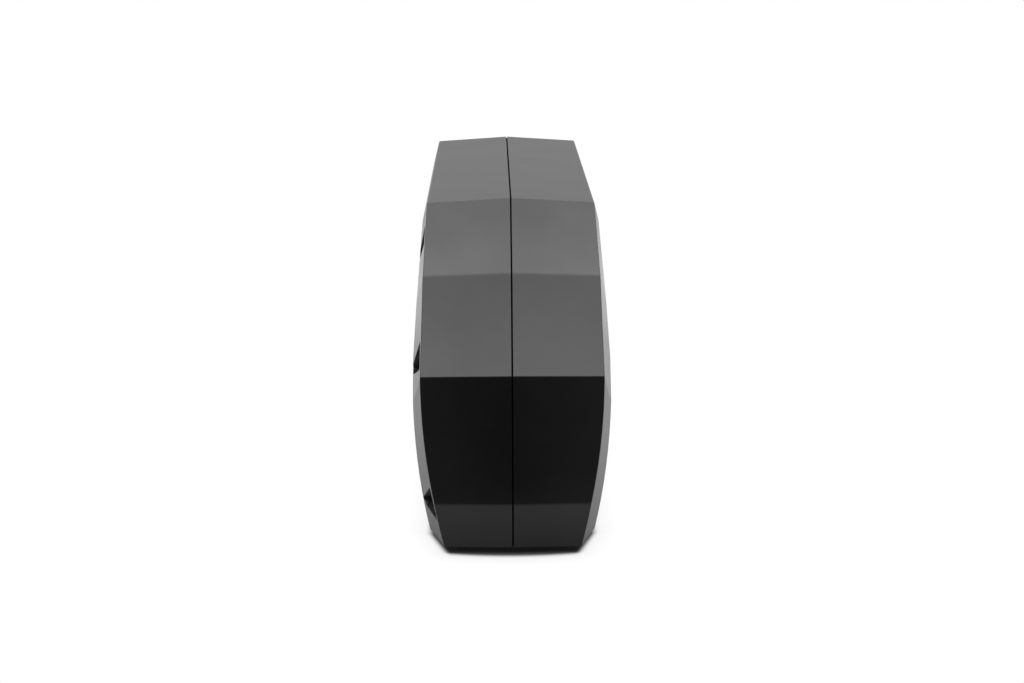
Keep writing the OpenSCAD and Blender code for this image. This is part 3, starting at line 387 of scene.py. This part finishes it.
def build_sign():
    """Power sign: a ring |distance - radius| < line, open where |y| < gap above its middle,
    and a bar in the opening, with lengths in millimetres."""
    tree, start, end = new_group("power_sign", {"Y": 0.0, "Z": 0.0}, ("Mask",))
    squares = [math_node(tree, "MULTIPLY", (start, axis), (start, axis)) for axis in ("Y", "Z")]
    total = math_node(tree, "ADD", (squares[0], "Value"), (squares[1], "Value"))
    distance = math_node(tree, "SQRT", (total, "Value"), None)
    ring = math_node(tree, "COMPARE", (distance, "Value"), SIGN_RADIUS, SIGN_LINE)
    beside = math_node(tree, "COMPARE", (start, "Y"), 0.0, SIGN_GAP)
    above = math_node(tree, "GREATER_THAN", (start, "Z"), 0.0)
    opening = math_node(tree, "MULTIPLY", (beside, "Value"), (above, "Value"))
    closed = math_node(tree, "SUBTRACT", 1.0, (opening, "Value"))
    arc = math_node(tree, "MULTIPLY", (ring, "Value"), (closed, "Value"))
    middle = math_node(tree, "COMPARE", (start, "Y"), 0.0, SIGN_LINE)
    bar_span = (SIGN_RADIUS * BAR_MIDDLE, SIGN_RADIUS * BAR_HALF)
    upright = math_node(tree, "COMPARE", (start, "Z"), *bar_span)
    bar = math_node(tree, "MULTIPLY", (middle, "Value"), (upright, "Value"))
    sign = math_node(tree, "MAXIMUM", (arc, "Value"), (bar, "Value"))
    wire(tree, (sign, "Value"), (end, "Mask"))
    return tree


def build_lights():
    """Row of round lights: y is folded into one pitch, and a light is where the distance from
    the fold's middle is under its radius."""
    tree, start, end = new_group("light_row", {"Y": 0.0, "Z": 0.0}, ("Mask",))
    folded = math_node(tree, "WRAP", (start, "Y"), LIGHT_PITCH / 2, -LIGHT_PITCH / 2)
    across = math_node(tree, "MULTIPLY", (folded, "Value"), (folded, "Value"))
    up = math_node(tree, "MULTIPLY", (start, "Z"), (start, "Z"))
    total = math_node(tree, "ADD", (across, "Value"), (up, "Value"))
    light = math_node(tree, "LESS_THAN", (total, "Value"), LIGHT_RADIUS ** 2)
    wire(tree, (light, "Value"), (end, "Mask"))
    return tree


def print_mark(material, group, place, tone):
    """Paints a tone over the material's colour where the group's mask is 1; y and z are
    measured in millimetres from the mark's place."""
    tree = material.node_tree
    axes = add(tree, "ShaderNodeSeparateXYZ")
    wire(tree, (add(tree, "ShaderNodeTexCoord"), "Object"), (axes, "Vector"))
    mark = add(tree, "ShaderNodeGroup", node_tree=group)
    for axis, offset in zip(("Y", "Z"), place):
        scaled = math_node(tree, "MULTIPLY_ADD", (axes, axis), 1.0 / MM, -offset)
        wire(tree, (scaled, "Value"), (mark, axis))
    paint_over(tree, tree.nodes["Principled BSDF"], (mark, "Mask"), tone)


print_mark(FINISHES["button_rubber"], build_sign(), BUTTON_PLACE, SIGN_TONE)
print_mark(FINISHES["window_smoke"], build_lights(), WINDOW_PLACE, LIGHT_ROW_TONE)
print("marks printed: power sign, row of lights")

# %% [markdown]
# ## Dress the CAD parts
# The record names a material slot for each part, and each slot has its finish above. Finishes
# could be given part by part, but a loop over the record forgets none.

# %% Dress the CAD parts
slots = {row["node"]: row["material_slot"] for row in frame["record"]["subparts"]}
for name, part in frame["nodes"].items():
    part.data.materials.clear()
    part.data.materials.append(FINISHES[slots[name]])
print("dressed parts:", len(slots))

# %% [markdown]
# ## Case with rounded edges
# The real shells come from a mould, so that no edge is sharp: each facet edge has a radius of
# about half a millimetre, and it catches a thin line of light. A bevel in the shader would leave
# the outline sharp, so that the mesh itself is rounded. A CAD part is loose triangles, and the
# work is done on a copy whose triangles are merged and joined into flat faces.

# %% Case with rounded edges
MERGE_DISTANCE = 0.002 * MM
FLAT_ANGLE = math.radians(0.4)
TINY = 1e-6


def merged_copy(part, name):
    """Copy of a CAD part with its doubles merged and its flat triangles joined into faces."""
    mesh = part.data.copy()
    work = bmesh.new()
    work.from_mesh(mesh)
    bmesh.ops.remove_doubles(work, verts=work.verts, dist=MERGE_DISTANCE)
    bmesh.ops.dissolve_limit(work, angle_limit=FLAT_ANGLE, verts=work.verts, edges=work.edges)
    work.to_mesh(mesh)
    work.free()
    piece = bpy.data.objects.new(name, mesh)
    bpy.context.collection.objects.link(piece)
    return piece


def apply_modifiers(piece):
    """Replaces the piece's mesh with what its modifiers make of it."""
    bpy.context.view_layer.update()
    evaluated = piece.evaluated_get(bpy.context.evaluated_depsgraph_get())
    piece.data = bpy.data.meshes.new_from_object(evaluated)
    piece.modifiers.clear()


def read(items, field, width, kind=float):
    """One attribute of a mesh's items as an array of this many columns."""
    values = np.empty(len(items) * width, dtype=kind)
    items.foreach_get(field, values)
    return values.reshape(-1, width) if width > 1 else values


def corner_indices(mesh):
    """Index of the point and index of the face, for each corner of each face."""
    vertex = read(mesh.loops, "vertex_index", 1, np.int32)
    totals = read(mesh.polygons, "loop_total", 1, np.int32)
    return vertex, np.repeat(np.arange(len(totals)), totals)


def unit(vectors):
    """Each row divided by its length."""
    return vectors / np.maximum(np.linalg.norm(vectors, axis=1, keepdims=True), TINY ** 2)


print("mesh helpers ready")

# %% [markdown]
# ## Edges to round
# Only edges of the outer form are rounded. They could be picked by hand, but a rule finds them
# all: a face is on the outer form if no point of the case lies outside that face's plane, or if
# the face belongs to a bulging side. Where the nose meets a side the mould is crisper, and the
# rims of recesses are nearly sharp.

# %% Edges to round
OUTER_GAP = 0.03 * MM
CREASE = math.radians(3.4)
NOSE_SHARE, LIP_SHARE = 0.4, 0.25
# Each bulging side: height where its curve begins, its radius, and its turn about Z in degrees.
BULGES = ((72.0, 336.0, 0.0), (75.0, 285.0, 13.0), (75.0, 285.0, -13.0))
BULGE_MARGIN = 1.0
BULGE_ANGLE = math.radians(1.5)
# A face whose normal's y is below this is on the nose.
NOSE_Y = -0.5


def bulge_normal(points, side, start, radius, turn):
    """Normal of a bulging side at these points: it tips down by the angle whose sine is
    (start - z) / radius, and is level above the start. Side is the sign of x."""
    fall = np.clip((points[:, 2] / MM - start) / radius, -1.0, 0.0)
    level = np.sqrt(1.0 - fall ** 2)
    across = side * math.cos(math.radians(turn))
    along = np.full(len(points), math.sin(math.radians(turn)))
    return np.stack([across * level, along * level, fall], axis=1)


def bulging_faces(flat, centres, side, start, radius, turn):
    """True for faces whose normal is near this bulging side's formula at their centres."""
    near = np.einsum("ij,ij->i", flat, bulge_normal(centres, side, start, radius, turn))
    return (near > math.cos(BULGE_ANGLE)) & (centres[:, 2] < (start + BULGE_MARGIN) * MM)


def outer_faces(mesh, side):
    """True for each face on the outer form, and the normals. Such a face either bulges by
    formula, or has all of the mesh's points on its inner side: the largest of
    normal . (point - centre) over the points is under a small gap."""
    points = read(mesh.vertices, "co", 3)
    normals, centres = read(mesh.polygons, "normal", 3), read(mesh.polygons, "center", 3)
    offsets = np.einsum("ij,ij->i", normals, centres)
    reach = np.array([(points @ normal).max() for normal in normals])
    bulging = np.any([bulging_faces(normals, centres, side, *bulge) for bulge in BULGES], axis=0)
    return (reach - offsets < OUTER_GAP) | bulging, normals


def weigh_edges(mesh, side):
    """Bevel weight 1 on creases between two outer faces, a share of it on those between the
    nose and a side, and a small share on rims of a recess. Each face that is not outer gets 1
    in the attribute recess."""
    outer, normals = outer_faces(mesh, side)
    work = bmesh.new()
    work.from_mesh(mesh)
    work.faces.ensure_lookup_table()
    weights = np.zeros(len(mesh.edges), dtype=np.float32)
    for edge in work.edges:
        if len(edge.link_faces) != 2:
            continue
        first, second = (face.index for face in edge.link_faces)
        angle = math.acos(max(-1.0, min(1.0, float(normals[first] @ normals[second]))))
        if angle > CREASE and (outer[first] or outer[second]):
            at_nose = (normals[first][1] < NOSE_Y) != (normals[second][1] < NOSE_Y)
            whole = NOSE_SHARE if at_nose else 1.0
            weights[edge.index] = whole if outer[first] and outer[second] else LIP_SHARE
    work.free()
    layer = mesh.attributes.new("bevel_weight_edge", "FLOAT", "EDGE")
    layer.data.foreach_set("value", weights)
    layer = mesh.attributes.new("recess", "FLOAT", "FACE")
    layer.data.foreach_set("value", (~outer).astype(np.float32))
    return [int((weights == np.float32(share)).sum()) for share in (1.0, NOSE_SHARE, LIP_SHARE)]


print("bulging sides:", len(BULGES), "with radii in mm:", [radius for _, radius, _ in BULGES])

# %% [markdown]
# ## Light over the facets
# In the mesh the bulging sides are narrow flat strips. Smoothing by angle would hide the strips,
# but it would also bend the light on the flat facets beside a rounded edge. Normals from the
# formula of the bulge do only the first. A facet keeps one normal, and the light turns over its
# edge. A painted sheen, a shine that changes with height, is laid over the large front facets.

# %% Light over the facets
SHEEN_AREA = 300.0 * MM ** 2
# The normal of a front facet has at least this x, and a facet looks up if its z is above the
# second value.
LEAST_LEAN = 0.01
LOOKING_UP = 0.3


def set_normals(mesh, rounded, side):
    """Normals for the corners of each face. A flat face keeps its own; a bulging side takes
    its formula if that is near the face's normal; a rounded edge takes the mean of the faces
    it joins, so that the light turns over the edge only."""
    points = read(mesh.vertices, "co", 3)
    vertex, face = corner_indices(mesh)
    flat, centres = read(mesh.polygons, "normal", 3), read(mesh.polygons, "center", 3)
    areas = read(mesh.polygons, "area", 1)
    corners = flat[face]
    for bulge in BULGES:
        chosen = (bulging_faces(flat, centres, side, *bulge) & ~rounded)[face]
        corners[chosen] = bulge_normal(points[vertex[chosen]], side, *bulge)
    edge = rounded[face]
    joined, between = np.zeros_like(points), np.zeros_like(points)
    np.add.at(joined, vertex[~edge], corners[~edge])
    np.add.at(between, vertex[edge], (flat * areas[:, None])[face[edge]])
    bare = np.linalg.norm(joined, axis=1) < TINY
    joined[bare] = between[bare]
    corners[edge] = unit(joined)[vertex[edge]]
    mesh.normals_split_custom_set(unit(corners).tolist())
    return int(rounded.sum()), len(flat)


def set_painted_sheen(mesh):
    """Corner attribute sheen, for a painted sheen: over each large front facet it runs evenly with
    height. It is highest at the foot of the facets that look up, and at the head of those that
    look down."""
    vertex, face = corner_indices(mesh)
    starts = read(mesh.polygons, "loop_start", 1, np.int32)
    flat, areas = read(mesh.polygons, "normal", 3), read(mesh.polygons, "area", 1)
    height = read(mesh.vertices, "co", 3)[vertex, 2]
    low, high = np.minimum.reduceat(height, starts), np.maximum.reduceat(height, starts)
    front = (flat[:, 1] < NOSE_Y) & (areas > SHEEN_AREA) & (np.abs(flat[:, 0]) > LEAST_LEAN)
    turn = np.where(flat[:, 2] > LOOKING_UP, -1.0, 1.0) * front
    span = np.maximum(high - low, TINY)[face]
    sheen = (turn[face] * (2.0 * (height - low[face]) / span - 1.0)).astype(np.float32)
    mesh.attributes.new("sheen", "FLOAT", "CORNER").data.foreach_set("value", sheen)
    return int(front.sum())


print("light helpers ready")

# %% [markdown]
# ## Feet of the pockets
# The openings of the lowest and of the middle screw pocket reach further down than in the CAD
# model. A dark patch on the skin would look flat from the side, so that a shallow wedge is cut
# from the dressed shell below each of them. Its sloping floor reads as a chamfer of the lower rim.
# The floor under the lowest pocket is also painted nearly black, as the shade at the pocket's
# foot.

# %% Feet of the pockets
# The wedge's corners on the case's surface in mm, the depth of its floor under each of them,
# and its reach outwards.
LOW_WEDGE = (
    (-35.0, -175.2, 18.4), (-34.45, -174.4, 15.0), (-39.6, -154.0, 17.1), (-40.6, -152.0, 19.4)
)
MIDDLE_WEDGE = (
    (-41.9, -166.9, 84.9), (-41.93, -167.5, 83.0), (-45.45, -144.5, 76.4), (-45.4, -144.5, 79.6)
)
WEDGE_DEPTHS = (2.4, 0.5, 0.5, 2.4)
WEDGE_OUTSIDE = 3.0 * MM
# Values of recess and gap on each floor: the lower one gets a painted shadow, darker than a
# recess, and the other is paler.
WEDGES = ((LOW_WEDGE, 1.0, 0.9), (MIDDLE_WEDGE, 0.3, 0.0))
# The x of a chamfer's normal is between these. Other faces there are the pocket's walls or floor.
FLOOR_LEAST_X, FLOOR_MOST_X = 0.1, 0.98
GROOVE_HALF = 0.35 * MM


def wedge_mesh(wedge):
    """Closed solid between the wedge's sloping floor, under its corners on the case's surface,
    and its top outside the case."""
    outline = np.array(wedge) * MM
    floor_x = outline[:, :1] + np.array(WEDGE_DEPTHS)[:, None] * MM
    outside_x = outline[:, :1] - WEDGE_OUTSIDE
    corners = np.vstack([np.hstack([x, outline[:, 1:]]) for x in (floor_x, outside_x)])
    faces = [(0, 1, 2), (0, 2, 3), (4, 5, 6), (4, 6, 7)]
    faces += [(k, k + 4, (k + 1) % 4 + 4, (k + 1) % 4) for k in range(4)]
    mesh = bpy.data.meshes.new("pocket_wedge")
    mesh.from_pydata(corners.tolist(), [], faces)
    work = bmesh.new()
    work.from_mesh(mesh)
    bmesh.ops.recalc_face_normals(work, faces=work.faces)
    work.to_mesh(mesh)
    work.free()
    return mesh


def deepen_pocket(piece, wedge):
    """Cuts the wedge from the piece."""
    cutter = bpy.data.objects.new("pocket_wedge", wedge_mesh(wedge))
    bpy.context.collection.objects.link(cutter)
    cut = piece.modifiers.new("pocket_wedge", "BOOLEAN")
    cut.operation, cut.solver, cut.object = "DIFFERENCE", "EXACT", cutter
    before = len(piece.data.polygons)
    apply_modifiers(piece)
    bpy.data.objects.remove(cutter)
    print("faces before and after the wedge:", before, len(piece.data.polygons))


def mark_painted_shade(mesh):
    """Face attribute gap, for painted shade: 1 in the groove between the shells. On the sloping
    floors of the wedges, recess and gap take the values of the wedge; the lowest one gets painted
    shadow."""
    centres = read(mesh.polygons, "center", 3)
    gap = (np.abs(centres[:, 0]) < GROOVE_HALF).astype(np.float32)
    recess = read(mesh.attributes["recess"].data, "value", 1)
    slope = np.abs(read(mesh.polygons, "normal", 3)[:, 0])
    inner = (recess > 0.5) & (slope > FLOOR_LEAST_X) & (slope < FLOOR_MOST_X)
    for wedge, paleness, gloom in WEDGES:
        low, high = np.min(wedge, axis=0) * MM, np.max(wedge, axis=0) * MM
        high[0] += max(WEDGE_DEPTHS) * MM
        foot = inner & np.all((centres > low) & (centres < high), axis=1)
        recess[foot], gap[foot] = paleness, gloom
    mesh.attributes["recess"].data.foreach_set("value", recess)
    mesh.attributes.new("gap", "FLOAT", "FACE").data.foreach_set("value", gap)


print("pockets with a chamfer:", len(WEDGES))

# %% [markdown]
# ## Both shells
# Each shell's copy gets its rounded edges, its normals and the attributes for the marks of the
# mould, the painted shade and the painted sheen, and takes the place of the CAD part. The outer
# forms of the shells mirror each other, but for the openings in them, so that one function makes
# both.

# %% Both shells
EDGE_RADIUS = 0.55 * MM
EDGE_SEGMENTS = 3


def round_edges(piece):
    """Works the weighted bevel into the piece, and tells which faces are rounded edges."""
    # A second slot marks the new faces while the bevel is worked out.
    while len(piece.data.materials) < 2:
        piece.data.materials.append(FINISHES["case_plastic"])
    bevel = piece.modifiers.new("rounded_edges", "BEVEL")
    bevel.limit_method = "WEIGHT"
    bevel.width = EDGE_RADIUS
    bevel.segments = EDGE_SEGMENTS
    bevel.use_clamp_overlap = False
    bevel.miter_outer = "MITER_ARC"
    bevel.material = 1
    apply_modifiers(piece)
    mesh = piece.data
    rounded = read(mesh.polygons, "material_index", 1, np.int32) == 1
    mesh.polygons.foreach_set("material_index", np.zeros(len(mesh.polygons), dtype=np.int32))
    mesh.materials.pop()
    return rounded


def round_case(node, side):
    """The shell's copy with rounded edges, in place of the CAD part. Side is the sign of x."""
    piece = merged_copy(frame["nodes"][node], node + "_rounded")
    if node == "left_shell":
        for wedge, _, _ in WEDGES:
            deepen_pocket(piece, wedge)
    counts = weigh_edges(piece.data, side)
    piece.data.polygons.foreach_set("use_smooth", np.ones(len(piece.data.polygons), dtype=bool))
    rounded = round_edges(piece)
    mark_painted_shade(piece.data)
    print(node, "faces of rounded edges, of all:", set_normals(piece.data, rounded, side))
    print(node, "front facets with a sheen:", set_painted_sheen(piece.data))
    print(node, "creases, edges of the nose, rims:", counts)
    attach(piece, "case")
    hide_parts(node)


for shell, side in (("left_shell", -1.0), ("right_shell", 1.0)):
    round_case(shell, side)

# %% [markdown]
# ## Studio table
# The battery stands on a white table. Past a short distance from its foot the camera sees the
# table as pure white, as in a cut-out photograph, and only the contact shadow stays. Lamps alone
# would set the shadow and the case's shine together, so that the shadow's tone is painted over
# the distance from the foot. What the case mirrors is another tone of the table, painted shade
# that is grey in front and brighter far behind.

# %% Studio table
FLOOR_BACK, FLOOR_FRONT, FLOOR_HALF = 3.0, 0.36, 1.8
FOOT_LENGTH, FOOT_WIDTH, FOOT_NOSE, FOOT_FLARE = 0.1785, 0.036, 0.0285, 0.25
NOSE_CURVE = 4.8
SIDE_STRETCH = 1.5
SHADOW_REACH = 0.02
# Tones of the painted shadow over the distance from the foot, and the distances between which
# they turn to white.
SHADOW_TONES = (
    (0.0, 0.075), (0.06, 0.17), (0.145, 0.43), (0.235, 0.74),
    (0.32, 0.88), (0.42, 0.93), (0.65, 0.965), (1.0, 1.0),
)
SHADOW_FADE = (-0.075, 0.35)
# Painted tones of the table that the case mirrors, greyer in front as painted shade, over y
# between the two ends of the range.
FLOOR_TONE_RANGE = (-0.4, 0.6)
FLOOR_TONES = ((0.0, 0.2), (0.2, 0.42), (0.4, 0.48), (0.62, 0.56), (0.8, 0.6), (1.0, 0.9))


def floor_surface(steps=41):
    """Flat grid: x runs from -half to half and y from front to back, at z = 0."""
    x, y = np.meshgrid(
        np.linspace(-FLOOR_HALF, FLOOR_HALF, steps), np.linspace(-FLOOR_FRONT, FLOOR_BACK, steps)
    )
    points = np.stack([x.ravel(), y.ravel(), np.zeros(x.size)], axis=1)
    corner = (np.arange(steps - 1)[:, None] * steps + np.arange(steps - 1)).ravel()
    faces = np.stack([corner, corner + 1, corner + steps + 1, corner + steps], axis=1)
    mesh = bpy.data.meshes.new("studio_floor")
    mesh.from_pydata(points.tolist(), [], faces.tolist())
    return mesh


def foot_distance(tree):
    """Distance on the floor from the battery's foot, as a share of the shadow's reach. The foot
    narrows to its nose: half width = nose + flare . (half length - |y|), at most the width, and
    the nose is curved: half length - curve . x squared.
    distance = root of (stretch . max(|x| - half width, 0)) squared + max(|y| - half length, 0)
    squared."""
    place = add(tree, "ShaderNodeTexCoord")
    axes = add(tree, "ShaderNodeSeparateXYZ")
    wire(tree, (place, "Object"), (axes, "Vector"))
    aside = math_node(tree, "ABSOLUTE", (axes, "X"), None)
    along = math_node(tree, "ABSOLUTE", (axes, "Y"), None)
    bow = math_node(tree, "MULTIPLY", (aside, "Value"), (aside, "Value"))
    length = math_node(tree, "MULTIPLY_ADD", (bow, "Value"), -NOSE_CURVE, FOOT_LENGTH)
    inside = math_node(tree, "SUBTRACT", (length, "Value"), (along, "Value"))
    flare = math_node(tree, "MULTIPLY_ADD", (inside, "Value"), FOOT_FLARE, FOOT_NOSE)
    width = math_node(tree, "MINIMUM", (flare, "Value"), FOOT_WIDTH)
    past_side = math_node(tree, "SUBTRACT", (aside, "Value"), (width, "Value"))
    past_nose = math_node(tree, "MULTIPLY", (inside, "Value"), -1.0)
    squares = []
    for past, stretch in ((past_side, SIDE_STRETCH), (past_nose, 1.0)):
        outside = math_node(tree, "MAXIMUM", (past, "Value"), 0.0)
        share = math_node(tree, "MULTIPLY", (outside, "Value"), stretch / SHADOW_REACH)
        squares.append(math_node(tree, "MULTIPLY", (share, "Value"), (share, "Value")))
    total = math_node(tree, "ADD", (squares[0], "Value"), (squares[1], "Value"))
    return axes, math_node(tree, "SQRT", (total, "Value"), None)


def share_between(tree, source, ends, **settings):
    """The source's value as a share of the way from the first end to the second."""
    node = add(tree, "ShaderNodeMapRange", **settings)
    node.inputs["From Min"].default_value, node.inputs["From Max"].default_value = ends
    wire(tree, source, (node, "Value"))
    return node


def mix_shaders(tree, factor, first, second):
    """First shader where the factor is 0, second where it is 1; each is (node, output)."""
    node = add(tree, "ShaderNodeMixShader")
    wire(tree, factor, (node, "Fac"))
    for slot, (source, label) in enumerate((first, second), start=1):
        tree.links.new(source.outputs[label], node.inputs[slot])
    return node


def floor_white():
    """To the camera the floor is white, and darkens to a contact shadow at the battery's foot,
    partly cast by the lamps and partly painted. What the battery mirrors is painted shade, greyer
    in front, that brightens towards the back."""
    material, tree, shader = new_material(
        "studio_white", {"Roughness": 0.9, "Specular IOR Level": 0.0}
    )
    axes, distance = foot_distance(tree)
    along = share_between(tree, (axes, "Y"), FLOOR_TONE_RANGE)
    mirrored = ramp(tree, (along, "Result"), FLOOR_TONES)
    shadow = ramp(tree, (distance, "Value"), SHADOW_TONES)
    path = add(tree, "ShaderNodeLightPath")
    paint = add(tree, "ShaderNodeMix", data_type="RGBA")
    wire(tree, (path, "Is Camera Ray"), (paint, "Factor"))
    tree.links.new(mirrored.outputs["Color"], paint.inputs[MIX_FIRST])
    tree.links.new(shadow.outputs["Color"], paint.inputs[MIX_SECOND])
    tree.links.new(paint.outputs[MIX_RESULT], shader.inputs["Base Color"])
    fade = share_between(
        tree, (distance, "Value"), SHADOW_FADE, interpolation_type="SMOOTHSTEP"
    )
    seen = math_node(tree, "MULTIPLY", (fade, "Result"), (path, "Is Camera Ray"))
    plain = add(tree, "ShaderNodeEmission", Strength=1.0)
    wire(tree, (shadow, "Color"), (plain, "Color"))
    both = mix_shaders(tree, (seen, "Value"), (shader, "BSDF"), (plain, "Emission"))
    # From below the floor is clear, so that the rail can be seen.
    back = add(tree, "ShaderNodeNewGeometry")
    below = math_node(tree, "MULTIPLY", (back, "Backfacing"), (path, "Is Camera Ray"))
    clear = add(tree, "ShaderNodeBsdfTransparent")
    ends = mix_shaders(tree, (below, "Value"), (both, "Shader"), (clear, "BSDF"))
    wire(tree, (ends, "Shader"), (tree.nodes["Material Output"], "Surface"))
    return material


floor = bpy.data.objects.new("studio_floor", floor_surface())
bpy.context.collection.objects.link(floor)
floor.data.materials.append(floor_white())
print("table, metres from front to back:", FLOOR_FRONT + FLOOR_BACK)

# %% [markdown]
# ## Studio room and lights
# One soft box hangs over the battery and a second one over the camera, and the room is dark
# behind the camera. So the steep front facet mirrors the dark room, the sloping facets
# mirror the soft boxes, and the sides mirror the pale room and the bright table far behind. A
# picture of a studio could do it, but tones over the direction can be set one by one.

# %% Studio room and lights
# Tones over the direction's y as a share from -1 to 1, and over the size of its x: the room is
# dark towards -Y, and pale towards +Y and far to both sides.
ROOM_DEPTHS = ((0.0, 0.01), (0.3, 0.01), (0.55, 0.345), (0.75, 0.445))
ROOM_SIDES = ((0.14, 0.0), (0.2, 0.4), (0.28, 0.1), (0.5, 0.1), (0.9, 0.5))
# Centre, point below it, size and brightness of each box, in metres.
TOP_BOX = ((0.0, -0.15, 1.35), (0.0, -0.149, 0.0), (1.6, 1.9), 2.83)
FRONT_BOX = ((0.0, -1.75, 1.35), (0.0, -1.749, 0.0), (1.6, 1.3), 2.95)


def studio_room():
    """World that lights the battery with the room's tones and is white to the camera."""
    world = bpy.data.worlds.new("studio_room")
    world.use_nodes = True
    room = world.node_tree
    room.nodes.clear()
    direction = add(room, "ShaderNodeTexCoord")
    axes = add(room, "ShaderNodeSeparateXYZ")
    wire(room, (direction, "Generated"), (axes, "Vector"))
    depth = ramp(room, (share_between(room, (axes, "Y"), (-1.0, 1.0)), "Result"), ROOM_DEPTHS)
    aside = math_node(room, "ABSOLUTE", (axes, "X"), None)
    sides = ramp(room, (aside, "Value"), ROOM_SIDES)
    pale = math_node(room, "ADD", (depth, "Color"), (sides, "Color"))
    lit = add(room, "ShaderNodeBackground", Strength=1.0)
    wire(room, (pale, "Value"), (lit, "Color"))
    white = add(room, "ShaderNodeBackground", Color=(1.0, 1.0, 1.0, 1.0), Strength=1.0)
    path = add(room, "ShaderNodeLightPath")
    choice = mix_shaders(
        room, (path, "Is Camera Ray"), (lit, "Background"), (white, "Background")
    )
    wire(room, (choice, "Shader"), (add(room, "ShaderNodeOutputWorld"), "Surface"))
    return world


def soft_box(name, centre, target, size, brightness):
    """Area lamp of this width and length; a lamp's power is its brightness x area x pi."""
    data = bpy.data.lights.new(name, "AREA")
    data.shape = "RECTANGLE"
    data.size, data.size_y = size
    data.energy = brightness * size[0] * size[1] * math.pi
    lamp = bpy.data.objects.new(name, data)
    bpy.context.collection.objects.link(lamp)
    lamp.location = centre
    aim = Vector(target) - Vector(centre)
    lamp.rotation_mode = "QUATERNION"
    lamp.rotation_quaternion = aim.to_track_quat("-Z", "Y")
    lamp.visible_camera = False


scene = bpy.context.scene
scene.world = studio_room()
soft_box("soft_box_top", *TOP_BOX)
soft_box("soft_box_front", *FRONT_BOX)
scene.view_settings.view_transform = "Standard"
print("room:", scene.world.name, "- soft boxes:", len(bpy.data.lights))
